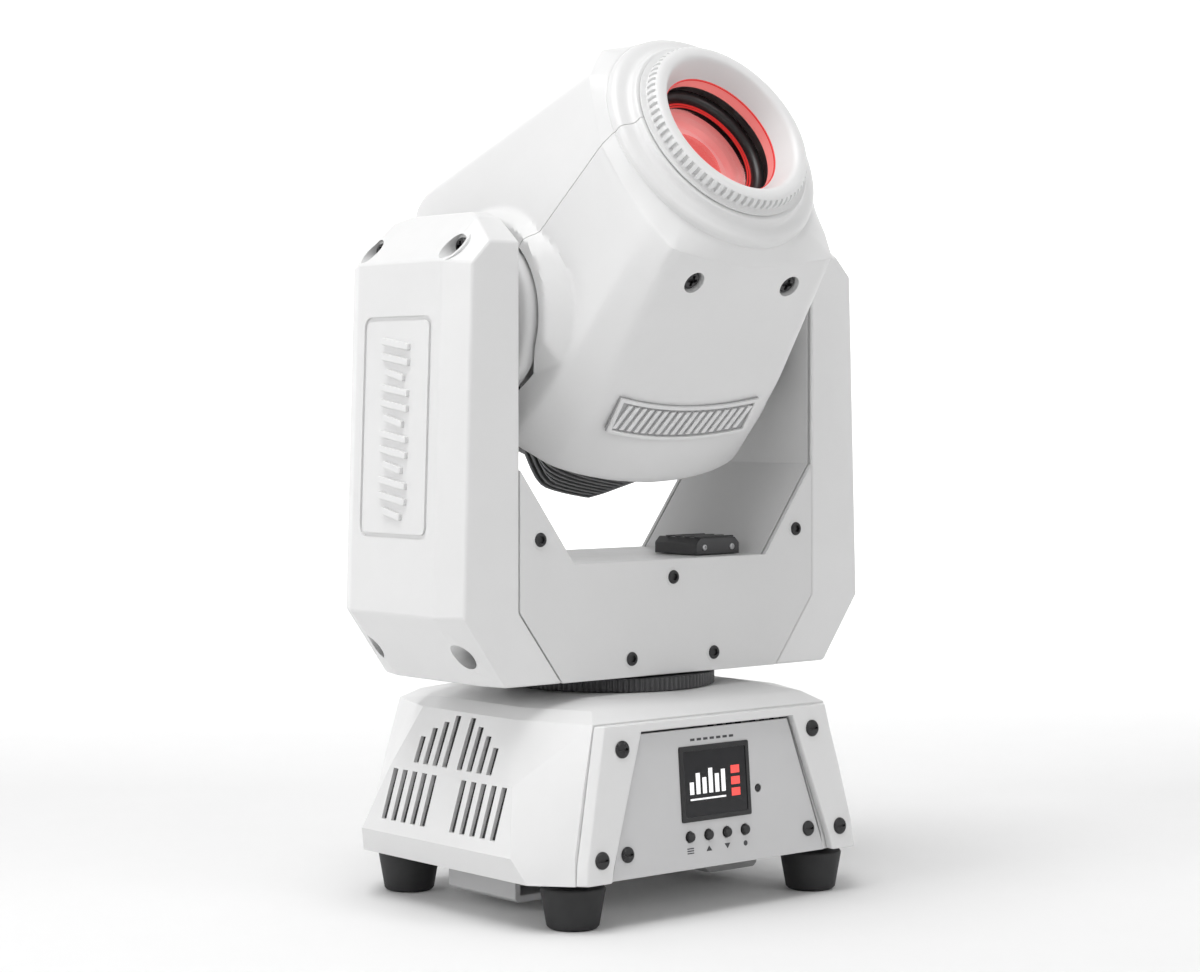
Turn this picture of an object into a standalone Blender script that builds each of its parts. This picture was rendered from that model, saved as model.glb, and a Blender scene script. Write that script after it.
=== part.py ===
"""Compact moving head light: base, panning yoke and tilting head, as separate closed solids.

Lengths are in millimetres and are turned into metres when each mesh is made.
X runs from arm to arm, the front with its control panel faces -Y, and Z is up.
"""
import math

import bmesh
import bpy
from mathutils import Vector

MM = 0.001
GAP = 0.3  # clearance between neighbouring pieces
WALL = 2.4  # moulded shells

# Placement
PAN_Y = 11.0  # the pan axis stands behind the middle of the whole outline
TILT_Z = 243.5
LENS_RISE = 31.0  # degrees above level, at rest
LENS_V = 28.1  # the lens axis passes this far from the tilt axis

# Base: half sizes at named heights
FLOOR_Z = 19.2
SKIRT_Z = 29.5
WAIST_Z = 56.0
SHOULDER_Z = 81.0
DECK_EDGE_Z = 85.2
DECK_Z = 88.4
LEAN = 0.0784  # the front plane leans back this much for each millimetre of height
FRONT_Y = 73.2  # front plane at the floor
BEZEL_T = 3.5
PANEL_RECESS = 3.0
FOOT_X = 66.4
FOOT_Y = 54.8
FOOT_TOP = 16.7
RAIL_TOP = 19.5

# Controls on the front panel and sockets on the rear one: middle (x, z) and half size
SCREEN = ((-20.0, 38.7), (17.4, 68.0))  # two opposite corners
LAMP = (22.7, 48.3)
BUTTON_X = (-16.6, -6.4, 3.8, 14.0)
BUTTON_Z = 32.2
SOCKETS = (
    ("mains_inlet", (-34.0, 36.0), (14.5, 11.5)),
    ("mains_outlet", (-2.0, 36.0), (14.5, 11.5)),
    ("data_in", (-16.0, 62.0), (9.5, 9.5)),
    ("data_out", (12.0, 62.0), (9.5, 9.5)),
    ("fuse_cap", (30.0, 36.0), (6.0, 6.0)),
)

# Side vents: how far each slot stands from the middle, and its lower and upper end
LOWER_SLOTS = [(10.0 + 6.65 * k, 35.0, 54.9) for k in range(5)]
UPPER_SLOTS = [(5.0, 59.0, 79.0), (11.5, 59.0, 76.0), (18.0, 59.0, 73.0), (24.5, 59.0, 69.0)]
SLOT_HALF = 1.0
SLOT_IN = 9.0
SLOT_OUT = 6.0

# Yoke
YOKE_Z = 95.1
YOKE_Y = 40.4
PLATE_T = 2.0
SADDLE_Z = 143.0
SADDLE_X = 53.4
ARM_X = 81.6
ARM_BEND_Z = 181.5
SEAM_Z = 124.6
SEAM_X = 59.5
BEARING_R = 17.7
SHAFT_R = 10.0
PINION_AT = (50.7, 0.0)
PINION_R = 6.0  # it meets the fixed pan ring
PAN_RING_R = 44.0
MOTOR_HALF = 17.5
MOTOR_Z = 166.0
DRUM_R = 19.0
PULLEY_R = 6.0
BELT_T = 1.2

# Head, in its own frame: X across, Y away from the control facet, Z along the lens
SECTION_STEPS = 48
ROUNDING = 16.0  # higher is squarer
FACET_U = 77.4
FACET_V = -32.0
FACET_SLOPE = 0.452
REAR_U = -44.0
TAIL_TOP_U = -12.0
TAIL_RADIUS = 36.0
NOSE_U = 91.9
NOSE_R = 51.4
COLLAR_U = 99.2
COLLAR_R = 43.2
RING_R = 39.0
PARTING_SLOPE = 0.3245
LENS_U = 88.1
BOSS_X = 69.5
BOSS_R = 41.5
HUB_R = 35.0
FIN_T = 2.4
FIN_PITCH = 5.4
WHEEL_R = 34.0
WHEEL_V = 2.0


# ---------------------------------------------------------------- materials
def material(name, colour, roughness, metallic=0.0):
    """A plain Principled material in the part's own colour."""
    mat = bpy.data.materials.new(name)
    mat.use_nodes = True
    shader = mat.node_tree.nodes["Principled BSDF"]
    shader.inputs["Base Color"].default_value = (*colour, 1.0)
    shader.inputs["Roughness"].default_value = roughness
    shader.inputs["Metallic"].default_value = metallic
    mat.diffuse_color = (*colour, 1.0)
    return mat


def make_materials():
    return {
        "white": material("white", (0.88, 0.88, 0.88), 0.35),
        "grey": material("grey", (0.60, 0.60, 0.61), 0.4),
        "plate": material("plate", (0.80, 0.80, 0.80), 0.4),
        "black": material("black", (0.02, 0.02, 0.02), 0.35),
        "rubber": material("rubber", (0.02, 0.02, 0.02), 0.8),
        "steel": material("steel", (0.55, 0.55, 0.56), 0.3, 1.0),
        "alu": material("alu", (0.32, 0.32, 0.33), 0.45, 1.0),
        "board": material("board", (0.02, 0.16, 0.07), 0.5),
        "glass": material("glass", (0.9, 0.12, 0.12), 0.05),
        "colour": material("colour", (0.2, 0.4, 0.7), 0.2),
    }


# ---------------------------------------------------------------- mesh helpers
def solid(name, verts, faces, mat, parent, at=(0, 0, 0)):
    """Turns points in millimetres, in the parent's frame, into one closed object."""
    mesh = bpy.data.meshes.new(name)
    origin = Vector(at)
    mesh.from_pydata([(Vector(v) - origin) * MM for v in verts], [], faces)
    mesh.materials.append(mat)
    bm = bmesh.new()
    bm.from_mesh(mesh)
    bmesh.ops.recalc_face_normals(bm, faces=bm.faces)
    bm.to_mesh(mesh)
    bm.free()
    obj = bpy.data.objects.new(name, mesh)
    obj.parent = parent
    obj.location = origin * MM
    bpy.context.scene.collection.objects.link(obj)
    return obj


def loft(rings, closed=False):
    """Joins rings of equal length: capped at both ends, or closed into a loop like a tube wall."""
    steps = len(rings[0])
    verts = [p for ring in rings for p in ring]
    pairs = len(rings) if closed else len(rings) - 1
    faces = []
    for i in range(pairs):
        a = i * steps
        b = ((i + 1) % len(rings)) * steps
        for k in range(steps):
            n = (k + 1) % steps
            faces.append((a + k, a + n, b + n, b + k))
    if not closed:
        faces.append(tuple(range(steps)))
        faces.append(tuple(range((len(rings) - 1) * steps, len(rings) * steps)))
    return verts, faces


def place(a, b, depth, axis):
    """A point of a flat outline (a, b), at a depth along the named axis."""
    return {"x": (depth, a, b), "y": (a, depth, b), "z": (a, b, depth)}[axis]


def prism(outline, axis, low, high):
    return loft([[place(a, b, d, axis) for a, b in outline] for d in (low, high)])


def box(low, high):
    outline = [(low[0], low[1]), (high[0], low[1]), (high[0], high[1]), (low[0], high[1])]
    return prism(outline, "z", low[2], high[2])


def circle(radius, depth, axis, centre=(0, 0), steps=32):
    points = []
    for k in range(steps):
        turn = 2 * math.pi * k / steps
        a = centre[0] + radius * math.cos(turn)
        b = centre[1] + radius * math.sin(turn)
        points.append(place(a, b, depth, axis))
    return points


def turned(profile, axis, centre=(0, 0), steps=32, tube=False):
    """A lathe shape from (radius, depth) steps: solid and capped, or a tube wall."""
    return loft([circle(r, d, axis, centre, steps) for r, d in profile], closed=tube)


def rod(radius, low, high, axis, centre=(0, 0), steps=32):
    return turned([(radius, low), (radius, high)], axis, centre, steps)


def sleeve(outer, inner, low, high, axis, centre=(0, 0), steps=32):
    profile = [(outer, low), (outer, high), (inner, high), (inner, low)]
    return turned(profile, axis, centre, steps, tube=True)


def cutter(obj, shape, operation="DIFFERENCE"):
    """Cuts (or joins, or keeps) a shape given in the same frame as the object's parent."""
    index = len(obj.modifiers) + 1
    tool = solid(f"cut_{obj.name}_{index}", *shape, obj.data.materials[0], obj.parent, obj.location / MM)
    tool.hide_render = True
    tool.display_type = "WIRE"
    modifier = obj.modifiers.new(f"cut_{index}", "BOOLEAN")
    modifier.operation = operation
    modifier.object = tool
    return tool


def frame(name, parent=None, at=(0, 0, 0), turn=0.0):
    """An empty on a joint's axis, turned about X."""
    empty = bpy.data.objects.new(name, None)
    empty.location = Vector(at) * MM
    empty.rotation_euler = (math.radians(turn), 0, 0)
    empty.parent = parent
    empty.empty_display_size = 0.02
    bpy.context.scene.collection.objects.link(empty)
    return empty


def side_name(side):
    return "left" if side < 0 else "right"


# ---------------------------------------------------------------- base
def front_y(z):
    """How far the leaning front (or rear) plane stands from the middle at a height."""
    return FRONT_Y - LEAN * (z - FLOOR_Z)


def side_x(z):
    """How far the side walls stand out: they lean in, more so above the waist."""
    if z < WAIST_Z:
        return 94.5 - 0.31 * (z - SKIRT_Z)
    return side_x(WAIST_Z - 1e-6) - 0.372 * (z - WAIST_Z)


def base_ring(z, side_x, side_y, front_x, depth):
    """Eight corners of the base at one height."""
    quarter = [(side_x, side_y), (front_x, depth)]
    points = [(x, y) for x, y in quarter]
    points += [(-x, y) for x, y in reversed(quarter)]
    points += [(-x, -y) for x, y in quarter]
    points += [(x, -y) for x, y in reversed(quarter)]
    return [(x, y, z) for x, y in points]


def base_housing(parent, mats):
    set_back = BEZEL_T + GAP
    outer = [
        base_ring(FLOOR_Z, 90.1, 55.0, 77.5, front_y(FLOOR_Z) - set_back),
        base_ring(SKIRT_Z, 94.5, 50.2, 77.0, front_y(SKIRT_Z) - set_back),
        base_ring(WAIST_Z, side_x(WAIST_Z), 41.0, 70.9, front_y(WAIST_Z) - set_back),
        base_ring(SHOULDER_Z, 77.0, 30.5, 64.3, front_y(SHOULDER_Z) - set_back),
        base_ring(DECK_EDGE_Z, 71.0, 27.0, 58.5, 57.0),
        base_ring(DECK_Z, 50.0, 22.0, 46.0, 44.0),
        [(x, y, DECK_Z) for x, y, _ in circle(15.8, 0, "z", steps=8)],
    ]
    inner = [
        [(x, y, DECK_Z - WALL) for x, y, _ in circle(15.8, 0, "z", steps=8)],
        base_ring(DECK_Z - WALL, 49.0, 21.0, 45.0, 43.0),
        base_ring(DECK_EDGE_Z - WALL, 69.0, 26.0, 56.5, 55.0),
        base_ring(SHOULDER_Z - WALL, 74.4, 29.4, 62.0, front_y(SHOULDER_Z) - set_back - WALL),
        base_ring(WAIST_Z, side_x(WAIST_Z) - 2.7, 39.8, 68.5, front_y(WAIST_Z) - set_back - WALL),
        base_ring(SKIRT_Z, 91.6, 48.8, 74.6, front_y(SKIRT_Z) - set_back - WALL),
        base_ring(FLOOR_Z, 87.4, 53.6, 75.0, front_y(FLOOR_Z) - set_back - WALL),
    ]
    obj = solid("base_housing", *loft(outer + inner, closed=True), mats["white"], parent)
    window = [(-60.5, 10.0), (60.5, 10.0), (58.5, 26.0), (43.0, 76.2), (-43.0, 76.2), (-58.5, 26.0)]
    for side in (-1, 1):
        cutter(obj, prism(window, "y", side * 55, side * 80))
        side_vents(obj, side)
    return obj


def side_vents(obj, side):
    """Two rows of slots cut straight in through one leaning side wall."""
    ends = [(-SLOT_IN, -SLOT_HALF), (SLOT_OUT, -SLOT_HALF), (SLOT_OUT, SLOT_HALF), (-SLOT_IN, SLOT_HALF)]
    for reach, low, high in LOWER_SLOTS + UPPER_SLOTS:
        for y in (-reach, reach):
            rings = []
            for z in (low, high):
                rings.append([(side * (side_x(z) + dx), y + dy, z) for dx, dy in ends])
            cutter(obj, loft(rings))


def base_frames(parent, mats):
    """Front and rear bezels, with the control panel and the connector panel behind them."""
    arch = [(-74.2, FLOOR_Z), (-73.6, 26.8), (-61.3, 80.4), (61.3, 80.4), (73.6, 26.8), (74.2, FLOOR_Z)]
    opening = [(61.3, FLOOR_Z), (59.9, 25.2), (42.2, 77.0), (-42.2, 77.0), (-59.9, 25.2), (-61.3, FLOOR_Z)]
    outline = arch + opening
    plate = [(-59.0, FLOOR_Z), (-57.0, 26.0), (-41.6, 75.5), (41.6, 75.5), (57.0, 26.0), (59.0, FLOOR_Z)]
    for side, bezel, panel in ((-1, "front_bezel", "control_panel"), (1, "rear_bezel", "connector_panel")):
        rings = []
        for back, grow in ((BEZEL_T, 3.0), (0.0, 0.0)):
            rings.append([bezel_point(x, z, back, grow, side) for x, z in outline])
        solid(bezel, *loft(rings), mats["white"], parent)
        depths = (PANEL_RECESS, PANEL_RECESS + 1.6)
        rings = [[(x, side * (front_y(z) - d), z) for x, z in plate] for d in depths]
        made = solid(panel, *loft(rings), mats["grey"], parent)
        if side < 0:
            panel_holes(made)
        else:
            connector_holes(made)


def bezel_point(x, z, back, grow, side):
    """The outer edge of a bezel widens towards the back, in line with the corner facets."""
    outside = abs(x) > 61.4 or (z > 78 and abs(x) > 60)
    wide = math.copysign(grow, x) if outside else 0.0
    return (x + wide, side * (front_y(z) - back), z)


def panel_holes(panel):
    (x0, z0), (x1, z1) = SCREEN
    cutter(panel, box((x0 - GAP, -80, z0 - GAP), (x1 + GAP, -50, z1 + GAP)))
    for x in BUTTON_X:
        cutter(panel, rod(2.4, -80, -50, "y", (x, BUTTON_Z), 12))
    cutter(panel, rod(1.8, -80, -50, "y", LAMP, 12))


def connector_holes(panel):
    for name, (x, z), (half_x, half_z) in SOCKETS:
        if name.startswith("mains"):
            low = (x - half_x - GAP, 50, z - half_z - GAP)
            cutter(panel, box(low, (x + half_x + GAP, 80, z + half_z + GAP)))
        else:
            cutter(panel, rod(half_x + GAP, 50, 80, "y", (x, z), 16))


def socket_parts(parent, mats):
    """Mains sockets are open boxes and data sockets open cups, both with a closed back."""
    for name, (x, z), (half_x, half_z) in SOCKETS:
        face = front_y(z) - PANEL_RECESS + 1.0
        if name.startswith("mains"):
            obj = solid(name, *box((x - half_x, face - 16, z - half_z), (x + half_x, face, z + half_z)),
                        mats["black"], parent)
            low = (x - half_x + 2, face - 13.5, z - half_z + 2)
            cutter(obj, box(low, (x + half_x - 2, face + 5, z + half_z - 2)))
        elif name.startswith("data"):
            obj = solid(name, *rod(half_x, face - 15, face, "y", (x, z), 24), mats["steel"], parent)
            cutter(obj, rod(half_x - 1.5, face - 12.5, face + 5, "y", (x, z), 24))
        else:
            solid(name, *rod(half_x, face - 12, face + 2.5, "y", (x, z), 24), mats["black"], parent)


def controls(parent, mats):
    (x0, z0), (x1, z1) = SCREEN
    rings = []
    for depth in (PANEL_RECESS - 0.4, PANEL_RECESS + 4.0):
        ends = [(x0, z0), (x1, z0), (x1, z1), (x0, z1)]
        rings.append([(x, -(front_y(z) - depth), z) for x, z in ends])
    solid("display", *loft(rings), mats["black"], parent)
    face = front_y(LAMP[1]) - PANEL_RECESS
    solid("status_lamp", *rod(1.5, -face - 0.1, -face + 5.0, "y", LAMP, 16), mats["black"], parent)
    face = front_y(BUTTON_Z) - PANEL_RECESS
    for k, x in enumerate(BUTTON_X):
        profile = [(2.0, -face + 4.5), (2.0, -face - 1.2), (1.5, -face - 1.7)]
        shape = turned(profile, "y", (x, BUTTON_Z), 16)
        solid(f"menu_button_{k + 1}", *shape, mats["black"], parent, (x, -face, BUTTON_Z))


def base_underside(parent, mats):
    ring = base_ring(FLOOR_Z + 0.6, 86.6, 53.0, 74.0, 66.0)
    top = [(x, y, z + PLATE_T) for x, y, z in ring]
    solid("floor_plate", *loft([ring, top]), mats["plate"], parent)
    for x in (-FOOT_X, FOOT_X):
        for y in (-FOOT_Y, FOOT_Y):
            profile = [(9.6, 0.0), (10.6, 1.0), (13.2, 15.6), (12.4, FOOT_TOP), (8.0, FOOT_TOP + 0.1),
                       (8.0, FLOOR_Z + 0.3)]
            end = "front" if y < 0 else "rear"
            shape = turned(profile, "z", (x, y), 28)
            solid(f"foot_{end}_{side_name(x)}", *shape, mats["rubber"], parent, (x, y, 0))
    for side in (-1, 1):
        lip = [(side * 68.0, RAIL_TOP), (side * 68.0, 6.0), (side * 66.0, 4.4), (side * 40.0, 4.4),
               (side * 37.0, 7.0), (side * 37.0, RAIL_TOP)]
        obj = solid(f"bracket_rail_{side_name(side)}", *prism(lip, "y", -20, 25), mats["grey"], parent)
        low, high = sorted((side * 42.0, side * 65.0))
        cutter(obj, box((low, -30, 7.4), (high, 35, 15.6)))


def base_inside(parent, mats):
    solid("power_supply", *box((-58, -34, 24), (14, 34, 52)), mats["steel"], parent)
    solid("main_board", *box((22, -38, 30), (70, 38, 31.6)), mats["board"], parent)
    low = DECK_Z + GAP
    high = YOKE_Z - 0.8
    profile = [(PAN_RING_R, low), (PAN_RING_R, high), (16.0, high), (16.0, low)]
    solid("pan_ring", *turned(profile, "z", steps=48, tube=True), mats["black"], parent)
    profile = [(20.0, 80.0), (20.0, 84.0), (14.0, 84.0), (14.0, 112.0), (11.0, 112.0), (11.0, 80.0)]
    solid("pan_bearing", *turned(profile, "z", steps=32, tube=True), mats["steel"], parent)


# ---------------------------------------------------------------- yoke
def yoke_frame_parts(parent, mats):
    half = YOKE_Y - PLATE_T - GAP
    lower = [(-SEAM_X, YOKE_Z), (SEAM_X, YOKE_Z), (ARM_X, SEAM_Z), (ARM_X, ARM_BEND_Z)]
    upper = [(SADDLE_X, SADDLE_Z), (-SADDLE_X, SADDLE_Z), (-ARM_X, ARM_BEND_Z), (-ARM_X, SEAM_Z)]
    outline = lower + upper
    solid("yoke_front_plate", *prism(outline, "y", -YOKE_Y, -YOKE_Y + PLATE_T), mats["plate"], parent)
    solid("yoke_rear_plate", *prism(outline, "y", YOKE_Y - PLATE_T, YOKE_Y), mats["plate"], parent)
    floor = solid("yoke_floor", *box((-SEAM_X, -half, YOKE_Z), (SEAM_X, half, YOKE_Z + PLATE_T)),
                  mats["plate"], parent)
    cutter(floor, rod(15.0, 90, 105, "z"))
    cutter(floor, rod(8.0, 90, 105, "z", PINION_AT))
    yoke_saddle(parent, mats)
    guard = [(22.0, SADDLE_Z + GAP), (47.0, SADDLE_Z + GAP), (47.0, SADDLE_Z + 5.0), (44.5, SADDLE_Z + 7.5),
             (24.5, SADDLE_Z + 7.5), (22.0, SADDLE_Z + 5.0)]
    solid("cable_guard", *prism(guard, "y", -31.0, -4.0), mats["black"], parent)


def yoke_saddle(parent, mats):
    """A bent sheet: both inner arm walls and the top of the crossbar."""
    top = 281.0
    t = PLATE_T
    inside = [(-ARM_X, top), (-ARM_X, ARM_BEND_Z), (-SADDLE_X, SADDLE_Z), (SADDLE_X, SADDLE_Z),
              (ARM_X, ARM_BEND_Z), (ARM_X, top)]
    outside = [(ARM_X + t, top), (ARM_X + t, ARM_BEND_Z - 1), (SADDLE_X + 0.8, SADDLE_Z - t),
               (-SADDLE_X - 0.8, SADDLE_Z - t), (-ARM_X - t, ARM_BEND_Z - 1), (-ARM_X - t, top)]
    half = 37.6
    obj = solid("yoke_saddle", *prism(inside + outside, "y", -half, half), mats["plate"], parent)
    for end in (-1, 1):
        wedge = [(end * 60, 290), (end * 17, 290), (end * 17, 282), (end * 26, 279.5), (end * 37.0, 268.5),
                 (end * 60, 268.5)]
        cutter(obj, prism(wedge, "x", -100, 100))
    cutter(obj, rod(BEARING_R + GAP, -100, 100, "x", (0, TILT_Z)))


def arm_outline(y):
    """The arm cover's outline, seen from the front, at a distance from its middle."""
    seam = [(ARM_X + GAP, SEAM_Z - 0.2), (SEAM_X + GAP, YOKE_Z)]
    if abs(y) > 35:
        outer = [(88.7, YOKE_Z), (109.6, 123.6), (105.5, 263.6), (97.0, 272.3)]
        top = 272.3
    elif abs(y) > 25:
        outer = [(92.5, YOKE_Z), (116.1, 123.3), (111.5, 264.9), (94.0, 282.5)]
        top = 282.5
    else:
        outer = [(92.5, YOKE_Z), (116.1, 123.3), (111.5, 264.9), (90.5, 285.0)]
        top = 285.0
    return seam + outer + [(ARM_X + GAP, top)]


def arm_hollow_outline(y, shrink):
    """The same outline moved in by a wall, and carried on through the open inner side."""
    points = arm_outline(y)
    lower = [(points[2][0] - shrink * 1.35, YOKE_Z + shrink), (points[3][0] - shrink, points[3][1] + 0.8)]
    upper = [(points[4][0] - shrink, points[4][1] - 1.0), (points[5][0] - shrink * 0.6, points[5][1] - shrink)]
    return [(60.0, SEAM_Z), (40.0, YOKE_Z + shrink)] + lower + upper + [(60.0, points[6][1] - shrink)]


def arm_covers(parent, mats):
    stations = (-YOKE_Y, -28.0, -20.4, 20.4, 28.0, YOKE_Y)
    for side in (-1, 1):
        rings = [[(side * x, y, z) for x, z in arm_outline(y)] for y in stations]
        obj = solid(f"arm_cover_{side_name(side)}", *loft(rings), mats["white"], parent)
        hollow = []
        for y in (-YOKE_Y + WALL, -27.0, -20.0, 20.0, 27.0, YOKE_Y - WALL):
            hollow.append([(side * x, y, z) for x, z in arm_hollow_outline(y, WALL)])
        cutter(obj, loft(hollow))


def yoke_drives(parent, mats):
    x, y = PINION_AT
    shape = box((x - MOTOR_HALF, -MOTOR_HALF, 98.5), (x + 8.0, MOTOR_HALF, 122.0))
    solid("pan_motor", *shape, mats["steel"], parent)
    profile = [(PINION_R, DECK_Z + 0.8), (PINION_R, YOKE_Z - 0.8), (2.5, YOKE_Z - 0.7), (2.5, 98.2)]
    solid("pan_pinion", *turned(profile, "z", PINION_AT, 20), mats["steel"], parent, (x, y, YOKE_Z))
    shape = box((84.2, -MOTOR_HALF, MOTOR_Z - MOTOR_HALF), (98.5, MOTOR_HALF, MOTOR_Z + MOTOR_HALF))
    solid("tilt_motor", *shape, mats["steel"], parent)
    profile = [(2.5, 98.8), (2.5, 100.0), (PULLEY_R, 100.1), (PULLEY_R, 105.6)]
    shape = turned(profile, "x", (0, MOTOR_Z), 20)
    solid("tilt_motor_pulley", *shape, mats["steel"], parent, (101, 0, MOTOR_Z))
    belt_inner = belt_loop(DRUM_R + 0.4, PULLEY_R + 0.4)
    belt_outer = belt_loop(DRUM_R + 0.4 + BELT_T, PULLEY_R + 0.4 + BELT_T)
    rings = []
    for loop, depths in ((belt_outer, (100.6, 105.0)), (belt_inner, (105.0, 100.6))):
        for depth in depths:
            rings.append([(depth, a, b) for a, b in loop])
    solid("tilt_belt", *loft(rings, closed=True), mats["rubber"], parent)
    solid("driver_board", *box((-100.0, -26, 190), (-98.4, 26, 262)), mats["board"], parent)
    for side in (-1, 1):
        shape = sleeve(BEARING_R, SHAFT_R + GAP, side * ARM_X, side * 88.0, "x", (0, TILT_Z))
        solid(f"tilt_bearing_{side_name(side)}", *shape, mats["steel"], parent)


def belt_loop(big, small):
    """A belt's outline round the large pulley above and the small one below, in the YZ plane."""
    span = TILT_Z - MOTOR_Z
    lean = math.asin((big - small) / span)
    points = []
    for k in range(17):
        turn = -lean + (math.pi + 2 * lean) * k / 16
        points.append((big * math.cos(turn), TILT_Z + big * math.sin(turn)))
    for k in range(9):
        turn = math.pi + lean + (math.pi - 2 * lean) * k / 8
        points.append((small * math.cos(turn), MOTOR_Z + small * math.sin(turn)))
    return points


# ---------------------------------------------------------------- head
def section_planes(u, inset=0.0):
    """Support planes of the head's outline about the lens axis: unit normal and distance."""
    t = (NOSE_U - u) / (NOSE_U - TAIL_TOP_U)
    crown = 52.5 + 6.5 * t
    corner = 56.8 + 14.0 * t
    side = 58.0 + 8.0 * t
    chamfer = 68.5 + 25.0 * t
    facet = LENS_V - (FACET_V - (FACET_U - u) * FACET_SLOPE)
    shrink = inset
    if u < TAIL_TOP_U:
        run = TAIL_TOP_U - u
        shrink += TAIL_RADIUS - math.sqrt(TAIL_RADIUS ** 2 - run ** 2)
    planes = [(0.0, 1.0, crown), (0.0, -1.0, facet)]
    for sign in (-1, 1):
        planes.append((sign * 0.617, 0.787, corner))
        planes.append((sign * 1.0, 0.0, side))
        planes.append((sign * 0.874, -0.486, chamfer))
    return [(a, b, d - shrink) for a, b, d in planes]


def section(u, inset=0.0, blend=1.0, radius=NOSE_R):
    """The head's outline at a height along the lens: faceted, or part way to a circle."""
    planes = section_planes(u, inset)
    ring = []
    for k in range(SECTION_STEPS):
        turn = 2 * math.pi * k / SECTION_STEPS
        a = math.cos(turn)
        b = math.sin(turn)
        total = sum(max(0.0, (a * p + b * q) / d) ** ROUNDING for p, q, d in planes)
        reach = total ** (-1.0 / ROUNDING)
        reach = blend * reach + (1.0 - blend) * radius
        ring.append((a * reach, LENS_V + b * reach, u))
    return ring


def nose_ring(radius, u):
    return circle(radius, u, "z", (0, LENS_V), SECTION_STEPS)


def head_skin(name, mat, parent):
    """The whole head casing as one wall, before it is split into its two shells."""
    outer = [section(u) for u in (REAR_U, -38.0, -31.0, -22.0, TAIL_TOP_U, 12.0, 40.0, 66.0, 82.0)]
    outer.append(section(87.5, blend=0.6, radius=NOSE_R + 4.0))
    outer.append(nose_ring(NOSE_R, NOSE_U))
    collar = [(46.0, NOSE_U + 0.6), (COLLAR_R + 0.6, COLLAR_U - 1.0), (COLLAR_R - 0.6, COLLAR_U),
              (40.2, COLLAR_U), (40.2, 84.0)]
    middle = [nose_ring(r, u) for r, u in collar]
    inner = [section(u, WALL) for u in (80.0, 66.0, 40.0, 12.0, TAIL_TOP_U, -22.0, -31.0, -38.0, REAR_U)]
    return solid(name, *loft(outer + middle + inner, closed=True), mat, parent)


def head_shells(parent, mats):
    """Upper and lower shells, parted on a plane through the tilt axis."""
    for name, sign in (("head_shell_upper", 1), ("head_shell_lower", -1)):
        obj = head_skin(name, mats["white"], parent)
        for side in (-1, 1):
            root = side * 45.6
            rim = side * BOSS_X
            boss = [(46.4, root), (46.4, side * 60.0), (BOSS_R, rim), (32.0, rim), (32.0, root)]
            cutter(obj, turned(boss, "x", steps=36, tube=True), "UNION")
            cutter(obj, rod(HUB_R + 1.0, side * 40, side * 80, "x", steps=34))
        low = GAP / 2 * sign
        far = 160.0 * sign
        half = []
        for u in (-120.0, 140.0):
            v = u * PARTING_SLOPE
            half.append([(-120, v + low, u), (120, v + low, u), (120, v + far, u), (-120, v + far, u)])
        cutter(obj, loft(half), "INTERSECT")
        if sign < 0:
            cutter(obj, rear_cut())


def rear_cut():
    """Takes the lower shell back to its rim, which leans with the cooling fins."""
    rim = [(-13.3, -90.0), (-13.3, -60.0), (-24.0, 10.0), (-24.0, 40.0), (-90.0, 40.0), (-90.0, -90.0)]
    return loft([[(x, v, u) for u, v in rim] for x in (-100, 100)])


def head_tail(parent, mats):
    """A finned heat sink behind the shells, and the fan's ring and rotor behind that."""
    rings = []
    u = -15.0
    while u > -58.0:
        rings.append(tail_section(u, 5.0))
        rings.append(tail_section(u - FIN_T, 5.0))
        rings.append(tail_section(u - FIN_T, 16.0))
        rings.append(tail_section(u - FIN_PITCH, 16.0))
        u -= FIN_PITCH
    solid("heat_sink", *loft(rings[:-2]), mats["alu"], parent)
    low = u + FIN_PITCH - FIN_T - GAP
    centre = (0.0, 4.0)
    profile = [(38.0, low), (36.0, low - 9.0), (31.0, low - 9.0), (31.0, low)]
    solid("fan_ring", *turned(profile, "z", centre, 32, tube=True), mats["black"], parent)
    hub = rod(12.0, low - 7.5, low - 1.0, "z", centre, 24)
    rotor = solid("fan_rotor", *hub, mats["black"], parent, (0, 4.0, low - 4))
    blades = 7
    for k in range(blades):
        cutter(rotor, fan_blade(centre, low, 2 * math.pi * k / blades), "UNION")


def fan_blade(centre, low, turn):
    rings = []
    for reach in (9.0, 29.5):
        ring = []
        for along, height in ((-7.0, -2.0), (-6.4, -1.2), (7.0, -6.4), (6.4, -7.2)):
            x = reach * math.cos(turn) - along * math.sin(turn)
            y = reach * math.sin(turn) + along * math.cos(turn)
            ring.append((centre[0] + x, centre[1] + y, low + height))
        rings.append(ring)
    return loft(rings)


def tail_section(u, inset):
    """A fin's outline: the shells' rear outline, drawn in at the top and towards the end."""
    below = [plane for plane in section_planes(TAIL_TOP_U, inset) if plane[1] < 0]
    above = [plane for plane in section_planes(max(u, REAR_U), inset + 2.0) if plane[1] >= 0]
    planes = below + above
    taper = 1.0 - 0.0042 * (TAIL_TOP_U - u)
    steps = 32
    ring = []
    for k in range(steps):
        turn = 2 * math.pi * (k + 0.5) / steps
        a = math.cos(turn)
        b = math.sin(turn)
        total = sum(max(0.0, (a * p + b * q) / (d * taper)) ** ROUNDING for p, q, d in planes)
        reach = total ** (-1.0 / ROUNDING)
        ring.append((a * reach * 0.71, LENS_V + b * reach * 0.93 - 2.0, u))
    return ring


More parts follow.
